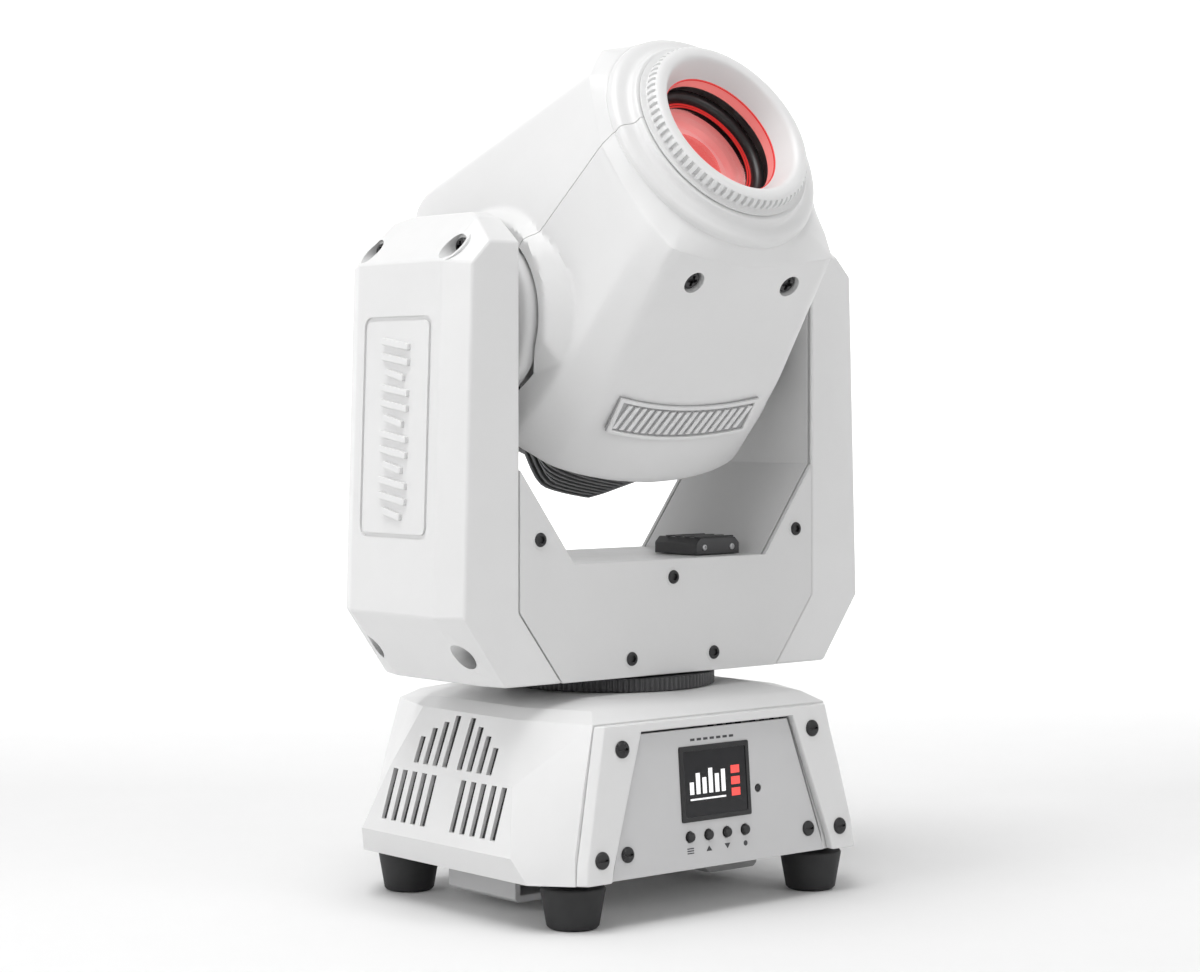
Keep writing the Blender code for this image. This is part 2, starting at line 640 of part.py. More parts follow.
def trunnions(parent, mats):
    """A stepped hollow hub on each side; the right one's shaft reaches on to carry the drum."""
    for side, end in ((-1, 92.0), (1, 106.0)):
        profile = [(30.0, 57.0), (30.0, 66.0), (HUB_R, 66.4), (HUB_R, 76.0), (12.0, 78.5), (SHAFT_R, 79.0),
                   (SHAFT_R, end), (5.0, end), (5.0, 57.0)]
        placed = [(r, side * d) for r, d in profile]
        shape = turned(placed, "x", steps=32, tube=True)
        solid(f"trunnion_{side_name(side)}", *shape, mats["white"], parent)
    drum = sleeve(DRUM_R, SHAFT_R + GAP, 100.0, 105.6, "x")
    solid("tilt_drum", *drum, mats["black"], parent)


def head_inside(parent, mats):
    plate = [(-42.0, -28.0), (42.0, -28.0), (42.0, 62.0), (-42.0, 62.0)]
    chassis = solid("chassis_plate", *prism(plate, "z", 4.0, 6.0), mats["steel"], parent)
    cutter(chassis, rod(22.0, 0, 10, "z", (0, LENS_V)))
    solid("led_module", *turned([(18.0, -14.6), (18.0, -4.0), (10.0, -3.0), (10.0, 1.0)], "z", (0, LENS_V), 24),
          mats["alu"], parent)
    dome = [(16.0, 14.0), (16.0, 17.0), (13.0, 21.0), (7.0, 23.0)]
    solid("condenser_lens", *turned(dome, "z", (0, LENS_V), 24), mats["glass"], parent)
    solid("colour_wheel", *wheel(40.0, 41.2), mats["colour"], parent, (0, WHEEL_V, 40))
    solid("gobo_wheel", *wheel(46.0, 47.6), mats["steel"], parent, (0, WHEEL_V, 46))


def wheel(low, high):
    """A scalloped disc with a hub, turning on its own axis beside the lens axis."""
    teeth = 8
    steps = 64
    rings = []
    for radius, u in ((WHEEL_R, low), (WHEEL_R, high), (5.0, high + 0.1), (5.0, high + 2.0)):
        ring = []
        for k in range(steps):
            turn = 2 * math.pi * k / steps
            dip = 1.4 * (0.5 - 0.5 * math.cos(turn * teeth)) if radius > 20 else 0.0
            ring.append(((radius - dip) * math.cos(turn), WHEEL_V + (radius - dip) * math.sin(turn), u))
        rings.append(ring)
    return loft(rings)


def lens_group(parent, mats):
    centre = (0, LENS_V)
    tube = [(30.0, 58.0), (30.0, 83.6), (27.0, 83.6), (27.0, 58.0)]
    at = (0, LENS_V, 80)
    solid("lens_tube", *turned(tube, "z", centre, 40, tube=True), mats["black"], parent, at)
    glass = [(26.0, 76.0), (26.0, 80.0), (22.0, 82.6), (16.0, 84.6), (8.0, 85.9), (2.0, 86.2)]
    solid("front_lens", *turned(glass, "z", centre, 40), mats["glass"], parent, at)
    retainer = [(30.0, 83.9), (30.0, 86.6), (28.8, LENS_U), (25.6, LENS_U), (23.6, 85.0), (26.5, 83.9)]
    solid("lens_retainer", *turned(retainer, "z", centre, 40, tube=True), mats["black"], parent, at)
    ring = [(36.5, 92.2), (36.5, COLLAR_U + 0.4), (RING_R, COLLAR_U + 0.6), (RING_R, 105.0), (38.2, 106.2),
            (33.0, 107.0), (32.2, 106.4), (28.4, 98.0), (28.4, 92.2)]
    solid("focus_ring", *turned(ring, "z", centre, 72, tube=True), mats["white"], parent, at)


# ---------------------------------------------------------------- assembly
def clear_scene():
    for obj in list(bpy.data.objects):
        bpy.data.objects.remove(obj, do_unlink=True)


def main():
    clear_scene()
    mats = make_materials()
    base = frame("base_frame", at=(0, PAN_Y, 0))
    base_housing(base, mats)
    base_frames(base, mats)
    socket_parts(base, mats)
    controls(base, mats)
    base_underside(base, mats)
    base_inside(base, mats)
    yoke = frame("pan_axis", base)
    yoke_frame_parts(yoke, mats)
    arm_covers(yoke, mats)
    yoke_drives(yoke, mats)
    head = frame("tilt_axis", yoke, (0, 0, TILT_Z), 90.0 - LENS_RISE)
    head_shells(head, mats)
    head_tail(head, mats)
    trunnions(head, mats)
    head_inside(head, mats)
    lens_group(head, mats)
    bpy.context.view_layer.update()


main()
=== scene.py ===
"""Looks of a compact moving head light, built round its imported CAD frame.

Shapes are written in millimetres. Those on the base and the yoke use X across, Y back from the pan
axis and Z up. Those on the head use X across, V away from the flat front facet and U along the lens,
measured from the tilt axis. place() turns both into metres in the frame.
"""

import math

import bmesh
import bpy
import numpy as np
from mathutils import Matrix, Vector


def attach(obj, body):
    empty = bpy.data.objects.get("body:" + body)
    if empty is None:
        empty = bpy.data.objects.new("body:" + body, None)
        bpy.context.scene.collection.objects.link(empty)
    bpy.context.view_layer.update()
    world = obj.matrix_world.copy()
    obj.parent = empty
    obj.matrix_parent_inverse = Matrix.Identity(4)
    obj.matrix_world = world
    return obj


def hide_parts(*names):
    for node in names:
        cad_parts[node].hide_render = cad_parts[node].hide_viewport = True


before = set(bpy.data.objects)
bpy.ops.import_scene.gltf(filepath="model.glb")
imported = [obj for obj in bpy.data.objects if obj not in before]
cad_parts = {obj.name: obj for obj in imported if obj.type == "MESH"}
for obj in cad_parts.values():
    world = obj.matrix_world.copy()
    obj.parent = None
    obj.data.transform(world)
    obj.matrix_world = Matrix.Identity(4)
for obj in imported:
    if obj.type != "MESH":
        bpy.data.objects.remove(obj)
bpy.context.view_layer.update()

MM = 0.001
WELD_DISTANCE = 0.00001
PAN_Y = 11.0
TILT_Z = 243.5
RISE_SIN = math.sin(math.radians(31.0))
RISE_COS = math.cos(math.radians(31.0))
HEAD_BODIES = ("head", "fan", "colour_disc", "gobo_disc", "focus", "lens")
LENS_V = 28.1
YOKE_Y = 40.4
GAP = 0.3


# ---------------------------------------------------------------- places and meshes
def place(body, point):
    """A point in millimetres, in a body's own axes, as metres in the frame."""
    a, b, c = point
    if body in HEAD_BODIES:
        y = PAN_Y + b * RISE_SIN - c * RISE_COS
        z = TILT_Z + b * RISE_COS + c * RISE_SIN
        return Vector((a * MM, y * MM, z * MM))
    return Vector((a * MM, (b + PAN_Y) * MM, c * MM))


def merged(shapes):
    """Several closed shapes as one list of points and faces."""
    verts = []
    faces = []
    for shape_verts, shape_faces in shapes:
        start = len(verts)
        verts += shape_verts
        faces += [tuple(start + k for k in face) for face in shape_faces]
    return verts, faces


def new_object(name, body, shape):
    """An object made of a shape's points and faces, given in a body's own axes."""
    verts, faces = shape
    mesh = bpy.data.meshes.new(name)
    mesh.from_pydata([place(body, v) for v in verts], [], faces)
    bm = bmesh.new()
    bm.from_mesh(mesh)
    bmesh.ops.recalc_face_normals(bm, faces=bm.faces)
    bm.to_mesh(mesh)
    bm.free()
    obj = bpy.data.objects.new(name, mesh)
    bpy.context.scene.collection.objects.link(obj)
    return obj


def settle(obj):
    """Makes the modifiers' result the object's own mesh."""
    graph = bpy.context.evaluated_depsgraph_get()
    mesh = bpy.data.meshes.new_from_object(obj.evaluated_get(graph))
    obj.modifiers.clear()
    old = obj.data
    obj.data = mesh
    bpy.data.meshes.remove(old)


def soften(obj, width, segments=3, angle=28.0):
    """Rounds the edges that turn by more than the angle."""
    bevel = obj.modifiers.new("round", "BEVEL")
    bevel.width = width * MM
    bevel.segments = segments
    bevel.limit_method = "ANGLE"
    bevel.angle_limit = math.radians(angle)
    bevel.use_clamp_overlap = True


def shade(obj, angle=32.0):
    """Smooth shading, broken at edges sharper than the angle, with flat faces kept flat."""
    bm = bmesh.new()
    bm.from_mesh(obj.data)
    for face in bm.faces:
        face.smooth = True
    limit = math.radians(angle)
    for edge in bm.edges:
        edge.smooth = len(edge.link_faces) == 2 and edge.calc_face_angle(0.0) < limit
    bm.to_mesh(obj.data)
    bm.free()
    obj.modifiers.new("flat", "WEIGHTED_NORMAL").keep_sharp = True


def carve(obj, body, shapes, operation="DIFFERENCE"):
    """Cuts shapes out of an object, or joins them on, for good. They stay clear of each other."""
    tool = new_object("tool", body, merged(shapes))
    modifier = obj.modifiers.new("carve", "BOOLEAN")
    modifier.operation = operation
    modifier.object = tool
    settle(obj)
    bpy.data.objects.remove(tool, do_unlink=True)


def copy_node(name, node, width, angle):
    """A CAD node's shape as a new object, cleaned and with its edges rounded."""
    obj = bpy.data.objects.new(name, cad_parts[node].data.copy())
    bpy.context.scene.collection.objects.link(obj)
    bm = bmesh.new()
    bm.from_mesh(obj.data)
    bmesh.ops.remove_doubles(bm, verts=bm.verts, dist=WELD_DISTANCE)
    bmesh.ops.dissolve_limit(bm, angle_limit=math.radians(0.7), verts=bm.verts, edges=bm.edges)
    bm.to_mesh(obj.data)
    bm.free()
    soften(obj, width, 3, angle)
    settle(obj)
    return obj


def finish_piece(obj, body, mat, replaces=()):
    """Gives an object its material and body, and hides the CAD nodes it stands for."""
    obj.data.materials.clear()
    obj.data.materials.append(mat)
    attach(obj, body)
    if replaces:
        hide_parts(*replaces)
    return obj


def piece(name, body, shape, mat, replaces=(), bevel=0.0, segments=3, angle=32.0):
    """A finished piece made from a shape, with its edges rounded if a bevel is given."""
    obj = new_object(name, body, shape)
    if bevel:
        soften(obj, bevel, segments)
        settle(obj)
    shade(obj, angle)
    return finish_piece(obj, body, mat, replaces)


# ---------------------------------------------------------------- shapes
def loft(rings, closed=False):
    """Faces between rings of equal length, capped at both ends, or joined last to first if closed."""
    steps = len(rings[0])
    verts = [p for ring in rings for p in ring]
    faces = []
    for i in range(len(rings) if closed else len(rings) - 1):
        a = i * steps
        b = ((i + 1) % len(rings)) * steps
        for k in range(steps):
            n = (k + 1) % steps
            faces.append((a + k, a + n, b + n, b + k))
    if not closed:
        faces.append(tuple(range(steps)))
        faces.append(tuple(range((len(rings) - 1) * steps, len(rings) * steps)))
    return verts, faces


def on_axis(a, b, depth, axis):
    """A point from two places across an axis and one along it."""
    return {"x": (depth, a, b), "y": (a, depth, b), "z": (a, b, depth)}[axis]


def upright(low_a, low_b, high_a, high_b):
    """A rectangle's four corners."""
    return [(low_a, low_b), (high_a, low_b), (high_a, high_b), (low_a, high_b)]


def prism(outline, axis, low, high):
    """An outline drawn out along an axis."""
    return loft([[on_axis(a, b, d, axis) for a, b in outline] for d in (low, high)])


def box(low, high):
    """A block between two corners."""
    return prism(upright(*low[:2], *high[:2]), "z", low[2], high[2])


def circle(radius, depth, axis, centre=(0, 0), steps=48):
    """Points on a circle across an axis."""
    points = []
    for k in range(steps):
        turn = 2 * math.pi * k / steps
        a = centre[0] + radius * math.cos(turn)
        b = centre[1] + radius * math.sin(turn)
        points.append(on_axis(a, b, depth, axis))
    return points


def turned(profile, axis, centre=(0, 0), steps=48, tube=False):
    """A shape turned on a lathe: radius and depth pairs, solid or a closed section."""
    return loft([circle(r, d, axis, centre, steps) for r, d in profile], closed=tube)


def fillet(points, radii, steps=5):
    """An outline with its corners rounded: a radius for each corner, or one for all."""
    if not isinstance(radii, (list, tuple)):
        radii = [radii] * len(points)
    result = []
    count = len(points)
    for i, radius in enumerate(radii):
        before = Vector(points[i - 1])
        here = Vector(points[i])
        after = Vector(points[(i + 1) % count])
        to_before = (before - here).normalized()
        to_after = (after - here).normalized()
        half = to_before.angle(to_after) / 2
        reach = radius / math.tan(half)
        if radius <= 0:
            result.append(tuple(here))
            continue
        start = here + to_before * reach
        end = here + to_after * reach
        for k in range(steps + 1):
            t = k / steps
            point = start * (1 - t) ** 2 + here * (2 * t * (1 - t)) + end * t ** 2
            result.append(tuple(point))
    return result


def tilted(shape, centre, normal):
    """Moves a shape made round +Z to a point, with +Z turned to the normal."""
    turn = Vector((0, 0, 1)).rotation_difference(Vector(normal))
    at = Vector(centre)
    verts, faces = shape
    return [tuple(turn @ Vector(v) + at) for v in verts], faces


def screw_shape(radius, height, drive, sink):
    """A round-topped screw head with a hexagon, cross or slot cut into it."""
    steps = 48
    socket = radius * 0.5
    rings = []
    for r, z in ((radius, -sink), (radius, height * 0.45), (radius * 0.93, height * 0.8),
                 (radius * 0.8, height), (radius * 0.72, height * 1.02)):
        rings.append(circle(r, z, "z", steps=steps))
    depth = min(1.3, radius * 0.5, height * 0.8)
    for scale, z in ((1.0, height * 1.02), (0.97, height - depth), (0.05, height - depth * 1.05)):
        ring = []
        for k in range(steps):
            turn = 2 * math.pi * k / steps
            ring.append(drive_point(turn, socket * scale, drive, radius * scale, z))
        rings.append(ring)
    return loft(rings)


def drive_point(turn, size, drive, reach, z):
    """A point on the outline of a screw's socket, at an angle round it."""
    c = math.cos(turn)
    s = math.sin(turn)
    if drive == "hex":
        r = size / math.cos((turn % (math.pi / 3)) - math.pi / 6)
    elif drive == "cross":
        arm = 0.2 * reach
        r = min(0.62 * reach, arm / max(1e-6, min(abs(c), abs(s))))
    else:
        arm = 0.15 * reach
        r = min(0.7 * reach, arm / max(1e-6, abs(s)))
    return (r * c, r * s, z)


def screws(name, body, places, radius, height, mat, drive="hex", sink=1.0):
    """One piece that holds a screw at each place, a centre and a normal."""
    shapes = []
    for centre, normal in places:
        shapes.append(tilted(screw_shape(radius, height, drive, sink), centre, normal))
    return piece(name, body, merged(shapes), mat, angle=40.0)


# ---------------------------------------------------------------- materials
BRUSH_STRETCH = (1.0, 1.0, 30.0)
BRUSH_SCALE = 300.0
GLOW_ROUGHNESS = 0.25


def new_material(name, colour, roughness, metallic=0.0):
    """A material with its nodes, links and shader at hand."""
    mat = bpy.data.materials.new(name)
    mat.use_nodes = True
    shader = mat.node_tree.nodes["Principled BSDF"]
    shader.inputs["Base Color"].default_value = (*colour, 1.0)
    shader.inputs["Roughness"].default_value = roughness
    shader.inputs["Metallic"].default_value = metallic
    return mat, mat.node_tree.nodes, mat.node_tree.links, shader


def ramp(nodes, links, source, low, high, start=0.3, end=0.7):
    """A colour ramp between two colours or two grey values."""
    node = nodes.new("ShaderNodeValToRGB")
    node.color_ramp.elements[0].position = start
    node.color_ramp.elements[1].position = end
    for element, value in zip(node.color_ramp.elements, (low, high)):
        grey = isinstance(value, float)
        element.color = (value, value, value, 1.0) if grey else (*value, 1.0)
    links.new(source, node.inputs["Fac"])
    return node.outputs["Color"]


def noise(nodes, links, coords, scale, detail, roughness):
    """A noise texture in the object's own space."""
    node = nodes.new("ShaderNodeTexNoise")
    node.inputs["Scale"].default_value = scale
    node.inputs["Detail"].default_value = detail
    node.inputs["Roughness"].default_value = roughness
    links.new(coords, node.inputs["Vector"])
    return node.outputs["Fac"]


def moulded(name, colour, roughness, grain, depth, spread):
    """Moulded plastic or powder coat: fine grain, slight mottling, and soft changes of gloss."""
    mat, nodes, links, shader = new_material(name, colour, roughness)
    coords = nodes.new("ShaderNodeTexCoord").outputs["Object"]
    dark = tuple(c * (1 - spread) for c in colour)
    light = tuple(min(1.0, c * (1 + spread)) for c in colour)
    broad = noise(nodes, links, coords, 26.0, 4.0, 0.6)
    links.new(ramp(nodes, links, broad, dark, light), shader.inputs["Base Color"])
    patches = noise(nodes, links, coords, 90.0, 5.0, 0.65)
    gloss = ramp(nodes, links, patches, roughness - 0.05, roughness + 0.07)
    links.new(gloss, shader.inputs["Roughness"])
    fine = noise(nodes, links, coords, grain, 2.0, 0.5)
    bump = nodes.new("ShaderNodeBump")
    bump.inputs["Strength"].default_value = 0.35
    bump.inputs["Distance"].default_value = depth * MM
    links.new(fine, bump.inputs["Height"])
    links.new(bump.outputs["Normal"], shader.inputs["Normal"])
    return mat


def metal(name, colour, roughness):
    """Brushed metal with fine level lines."""
    mat, nodes, links, shader = new_material(name, colour, roughness, 1.0)
    coords = nodes.new("ShaderNodeTexCoord").outputs["Object"]
    mapping = nodes.new("ShaderNodeMapping")
    mapping.inputs["Scale"].default_value = BRUSH_STRETCH
    links.new(coords, mapping.inputs["Vector"])
    lines = noise(nodes, links, mapping.outputs["Vector"], BRUSH_SCALE, 4.0, 0.7)
    dark = tuple(c * 0.85 for c in colour)
    links.new(ramp(nodes, links, lines, dark, colour), shader.inputs["Base Color"])
    links.new(ramp(nodes, links, lines, roughness - 0.08, roughness + 0.12), shader.inputs["Roughness"])
    bump = nodes.new("ShaderNodeBump")
    bump.inputs["Strength"].default_value = 0.2
    bump.inputs["Distance"].default_value = 0.02 * MM
    links.new(lines, bump.inputs["Height"])
    links.new(bump.outputs["Normal"], shader.inputs["Normal"])
    return mat


def glowing(name, colour, emission, strength):
    """A glowing surface, used for the lit screen and for painted red glow inside the lens: its own colour
    plus a soft uneven glow.
    """
    mat, nodes, links, shader = new_material(name, colour, GLOW_ROUGHNESS)
    coords = nodes.new("ShaderNodeTexCoord").outputs["Object"]
    cloud = noise(nodes, links, coords, 60.0, 3.0, 0.5)
    dim = tuple(c * 0.82 for c in emission)
    links.new(ramp(nodes, links, cloud, dim, emission), shader.inputs["Emission Color"])
    shader.inputs["Emission Strength"].default_value = strength
    return mat


def make_materials():
    """Every material, by a short name."""
    return {
        "white": moulded("white_moulding", (0.70, 0.70, 0.70), 0.36, 2400.0, 0.02, 0.012),
        "plate": moulded("white_powder_coat", (0.64, 0.64, 0.64), 0.42, 1500.0, 0.03, 0.015),
        "panel": moulded("grey_panel_paint", (0.56, 0.56, 0.565), 0.45, 1700.0, 0.025, 0.015),
        "bracket": moulded("grey_bracket", (0.52, 0.52, 0.525), 0.5, 1600.0, 0.03, 0.02),
        "black": moulded("black_moulding", (0.014, 0.014, 0.015), 0.34, 2600.0, 0.03, 0.2),
        "guard": moulded("dark_grey_moulding", (0.05, 0.05, 0.052), 0.4, 2200.0, 0.04, 0.15),
        "screw": moulded("black_oxide", (0.012, 0.012, 0.013), 0.3, 1200.0, 0.02, 0.2),
        "rubber": moulded("black_rubber", (0.016, 0.016, 0.017), 0.62, 900.0, 0.06, 0.25),
        "tail": moulded("dark_anodised", (0.13, 0.13, 0.133), 0.5, 1500.0, 0.03, 0.1),
        "steel": metal("brushed_steel", (0.55, 0.55, 0.56), 0.32),
        "board": moulded("circuit_board", (0.02, 0.15, 0.07), 0.4, 700.0, 0.05, 0.2),
        "screen": moulded("screen_gloss", (0.006, 0.006, 0.008), 0.08, 60.0, 0.001, 0.1),
        "ink": moulded("grey_print", (0.05, 0.05, 0.055), 0.5, 900.0, 0.002, 0.1),
        # Painted glow: the lens surfaces and the focus ring's inner wall are no lamps, so their red light is
        # painted in as emission.
        "glow_core": glowing("lens_glow_core", (0.75, 0.10, 0.09), (1.0, 0.10, 0.085), 0.55),
        "glow_pale": glowing("lens_glow_pale", (0.85, 0.42, 0.42), (1.0, 0.36, 0.34), 0.45),
        "glow_wall": glowing("lens_wall_painted_glow", (0.80, 0.30, 0.29), (1.0, 0.22, 0.20), 0.32),
        "glow_deep": glowing("lens_glow_deep", (0.55, 0.05, 0.05), (0.9, 0.04, 0.035), 0.35),
        # The screen's marks give the display's own light.
        "lit_white": glowing("screen_white", (0.8, 0.8, 0.8), (0.9, 0.9, 0.92), 0.55),
        "lit_red": glowing("screen_red", (0.7, 0.08, 0.07), (0.95, 0.07, 0.06), 0.6),
        "glass": coated_glass(),
        "filter": moulded("dichroic_filter", (0.14, 0.30, 0.62), 0.12, 200.0, 0.001, 0.3),
        "badge_floor": moulded("badge_floor_grey", (0.36, 0.36, 0.365), 0.5, 1500.0, 0.02, 0.03),
    }


def coated_glass():
    """Clear lens glass with a faint film of dust."""
    mat, nodes, links, shader = new_material("coated_glass", (1.0, 0.86, 0.86), 0.03)
    shader.inputs["Transmission Weight"].default_value = 1.0
    shader.inputs["IOR"].default_value = 1.5
    shader.inputs["Coat Weight"].default_value = 0.3
    coords = nodes.new("ShaderNodeTexCoord").outputs["Object"]
    dust = noise(nodes, links, coords, 400.0, 4.0, 0.6)
    links.new(ramp(nodes, links, dust, 0.02, 0.07), shader.inputs["Roughness"])
    return mat


# ---------------------------------------------------------------- head casing
HEAD_STEPS = 360
CRISP = 260.0
WIDEST = 66.2
WALL = 2.4
SHOULDER_U = 86.0
BOSS_X = 69.5
BOSS_R = 41.5
BOSS_SLOPE = 0.516
BOSS_ROOT = 50.0
BOSS_BLEND = 0.9
BOSS_SPAN = 56.0
BOSS_SEARCH = (46.0, 90.0, 0.4)
TAIL_TOP_U = -12.0
TAIL_LOW_U = -44.0
TAIL_RADIUS = 36.0
PARTING_SLOPE = 0.3245
NOSE_EDGE = (52.1, 91.3)
FACET_RISE = 0.452
FACET_NORMAL = Vector((0.0, -1.0, FACET_RISE)).normalized()
FACET_SCREWS = [(x, 77.4) for x in (-26.5, 26.5)]


def outline_corners(u):
    """Corners of the casing's outline about the lens axis at a height, from the facet to the crown."""
    fall = SHOULDER_U - max(u, TAIL_TOP_U)
    facet = 56.2 + FACET_RISE * fall
    edge = 40.4 + 0.064 * fall + 0.003 * max(0.0, fall - 51.0) ** 2
    arch = min(1.0, max(0.0, (fall - 51.0) / 47.0)) ** 1.5
    return [
        (0.0, -facet),
        (18.0, -facet + 1.0 * arch),
        (36.0, -facet + 4.2 * arch),
        (edge, -facet + 9.9 * arch),
        (edge + 4.6, -facet + 2.2 + 12.0 * arch),
        (49.2 + 0.19 * fall, -facet + 14.9 + 6.0 * arch),
        (55.0 + 0.19 * fall, PARTING_SLOPE * u - LENS_V),
        (47.4 + 0.17 * fall, 33.5 + 0.08 * fall),
        (33.8 + 0.10 * fall, 48.4 + 0.10 * fall),
        (19.7 + 0.05 * fall, 52.0 + 0.07 * fall),
        (0.0, 52.9 + 0.07 * fall),
    ]


def outline_planes(u, inset=0.0):
    """The same outline as support planes: unit normal and distance from the lens axis."""
    shrink = inset
    if u < TAIL_TOP_U:
        shrink += TAIL_RADIUS - math.sqrt(TAIL_RADIUS ** 2 - (TAIL_TOP_U - u) ** 2)
    corners = outline_corners(u)
    planes = [(1.0, 0.0, WIDEST - shrink)]
    for (ax, ay), (bx, by) in zip(corners, corners[1:]):
        length = math.hypot(bx - ax, by - ay)
        normal = ((by - ay) / length, (ax - bx) / length)
        planes.append((*normal, normal[0] * ax + normal[1] * ay - shrink))
    return planes


def plane_reach(planes, turns, crisp=CRISP):
    """How far an outline stands from the lens axis, for each angle round it."""
    across = np.abs(np.cos(turns))
    away = np.sin(turns)
    ratios = [np.maximum(1e-6, (across * a + away * b) / distance) for a, b, distance in planes]
    largest = np.maximum.reduce(ratios)
    total = sum((ratio / largest) ** crisp for ratio in ratios)
    return 1.0 / (largest * total ** (1.0 / crisp))


def boss_depth(r, turns, u, inset):
    """Negative inside the round boss on the side of the casing."""
    x = np.abs(r * np.cos(turns))
    v = LENS_V + r * np.sin(turns)
    cone = (np.hypot(v, u) - (BOSS_R - inset) - BOSS_SLOPE * (BOSS_X - x)) * 0.89
    end = x - (BOSS_X - inset)
    h = np.clip(0.5 + 0.5 * (cone - end) / BOSS_BLEND, 0.0, 1.0)
    return np.maximum(end * (1 - h) + cone * h + BOSS_BLEND * h * (1 - h), BOSS_ROOT - x)


def head_ring(u, inset=0.0, boss=True):
    """The casing's outline at a height, with the side bosses found by search from the axis outwards."""
    turns = np.linspace(0.0, 2 * math.pi, HEAD_STEPS, endpoint=False)
    body = plane_reach(outline_planes(u, inset), turns)
    reach = body.copy()
    if boss and abs(u) < BOSS_SPAN:
        for r in np.arange(*BOSS_SEARCH):
            inside = boss_depth(r, turns, u, inset) < 0.0
            reach = np.where(inside & (r > reach), r, reach)
        low = reach.copy()
        high = reach + BOSS_SEARCH[2]
        for _ in range(12):
            mid = (low + high) / 2
            inside = boss_depth(mid, turns, u, inset) < 0.0
            low = np.where(inside, mid, low)
            high = np.where(inside, high, mid)
        reach = np.where(reach > body + 1e-6, low, reach)
    return [(r * math.cos(t), LENS_V + r * math.sin(t), u) for r, t in zip(reach, turns)]


def shoulder_rings():
    """The casing's top edge, which climbs at the corners, and the sloping band up to the nose."""
    turns = np.linspace(0.0, 2 * math.pi, HEAD_STEPS, endpoint=False)
    reach = plane_reach(outline_planes(SHOULDER_U), turns)
    slope = (plane_reach(outline_planes(80.0), turns) - reach) / 6.0
    edge_u = np.clip(85.5 + (reach - 56.0) * 0.33, 85.3, 90.3)
    edge_r = reach + slope * (SHOULDER_U - edge_u)
    rings = []
    for share, drop in ((-0.005, 0.9), (0.01, 0.3), (0.05, 0.02), (0.3, -0.05), (0.7, -0.05), (0.95, 0.0)):
        r = edge_r * (1 - share) + NOSE_EDGE[0] * share
        u = edge_u * (1 - share) + NOSE_EDGE[1] * share - drop
        rings.append([(a * math.cos(t), LENS_V + a * math.sin(t), b) for a, t, b in zip(r, turns, u)])
    return rings


NOSE_PROFILE = (
    (52.0, 91.35), (51.5, 91.5), (51.35, 91.9), (51.3, 93.0), (50.9, 94.0), (50.1, 94.8), (49.0, 95.3),
    (47.6, 95.6), (46.2, 95.8), (45.0, 96.2), (44.1, 96.8), (43.5, 97.7), (43.25, 98.6), (43.0, 99.1),
    (42.5, 99.4), (40.4, 99.4), (40.2, 99.1), (40.2, 84.0),
)


def head_casing():
    """The whole hollow casing, outside and inside, before it is split in two."""
    heights = [TAIL_LOW_U, -42.0, -39.5, -36.0, -32.0, -28.0, -24.0, -20.0, -16.0, -13.5]
    heights += [TAIL_TOP_U + 1.5 * k for k in range(47)]
    heights += [61.0, 66.0, 71.0, 76.0, 80.0, 83.0]
    outer = [head_ring(u) for u in heights] + shoulder_rings()
    outer += [circle(r, u, "z", (0, LENS_V), HEAD_STEPS) for r, u in NOSE_PROFILE]
    depths = (80.0, 60.0, 40.0, 20.0, 0.0, TAIL_TOP_U, -22.0, -32.0, TAIL_LOW_U)
    inner = [head_ring(u, WALL, boss=False) for u in depths]
    return loft(outer + inner, closed=True)


def facet_v(u):
    """The front facet's plane, as V at a height."""
    return LENS_V - 58.0 - FACET_RISE * (82.0 - u)


def on_facet(x, u, height):
    """A point on the front facet, raised off it by a height."""
    return tuple(Vector((x, facet_v(u), u)) + FACET_NORMAL * height)


def facet_wells():
    """Round wells for the two screws of the front facet."""
    well = turned([(5.3, 1.0), (5.0, 0.02), (4.7, -0.45), (4.7, -9.0), (0.5, -9.1)], "z", steps=48)
    return [tilted(well, on_facet(x, u, 0.0), FACET_NORMAL) for x, u in FACET_SCREWS]


def well_liners():
    """Cups behind the wells, so that each has walls and a floor of its own."""
    section = [(5.7, -1.9), (5.7, -5.8), (0.4, -5.9), (0.4, -4.3), (4.75, -4.2), (4.75, -1.9)]
    cup = turned(section, "z", steps=48, tube=True)
    return [tilted(cup, on_facet(x, u, 0.0), FACET_NORMAL) for x, u in FACET_SCREWS]


def split_shell(obj, keep_upper):
    """Keeps one side of the parting plane and closes the cut."""
    normal = Vector((0.0, 1.0, -PARTING_SLOPE)).normalized()
    sign = 1.0 if keep_upper else -1.0
    origin = place("head", normal * (sign * GAP / 2))
    direction = (place("head", normal) - place("head", (0, 0, 0))).normalized() * sign
    bm = bmesh.new()
    bm.from_mesh(obj.data)
    cut = bmesh.ops.bisect_plane(bm, geom=bm.verts[:] + bm.edges[:] + bm.faces[:], dist=1e-7,
                                 plane_co=origin, plane_no=direction, clear_inner=True)
    edges = [g for g in cut["geom_cut"] if isinstance(g, bmesh.types.BMEdge)]
    bmesh.ops.triangle_fill(bm, use_beauty=True, edges=edges, normal=-direction)
    bm.to_mesh(obj.data)
    bm.free()


def rim_cut():
    """Takes the lower shell back to its rim."""
    rim = [(-13.3, -95.0), (-13.3, -58.0), (-24.0, 10.0), (-24.0, 40.0), (-90.0, 40.0), (-90.0, -95.0)]
    return loft([[(x, v, u) for u, v in rim] for x in (-100, 100)])


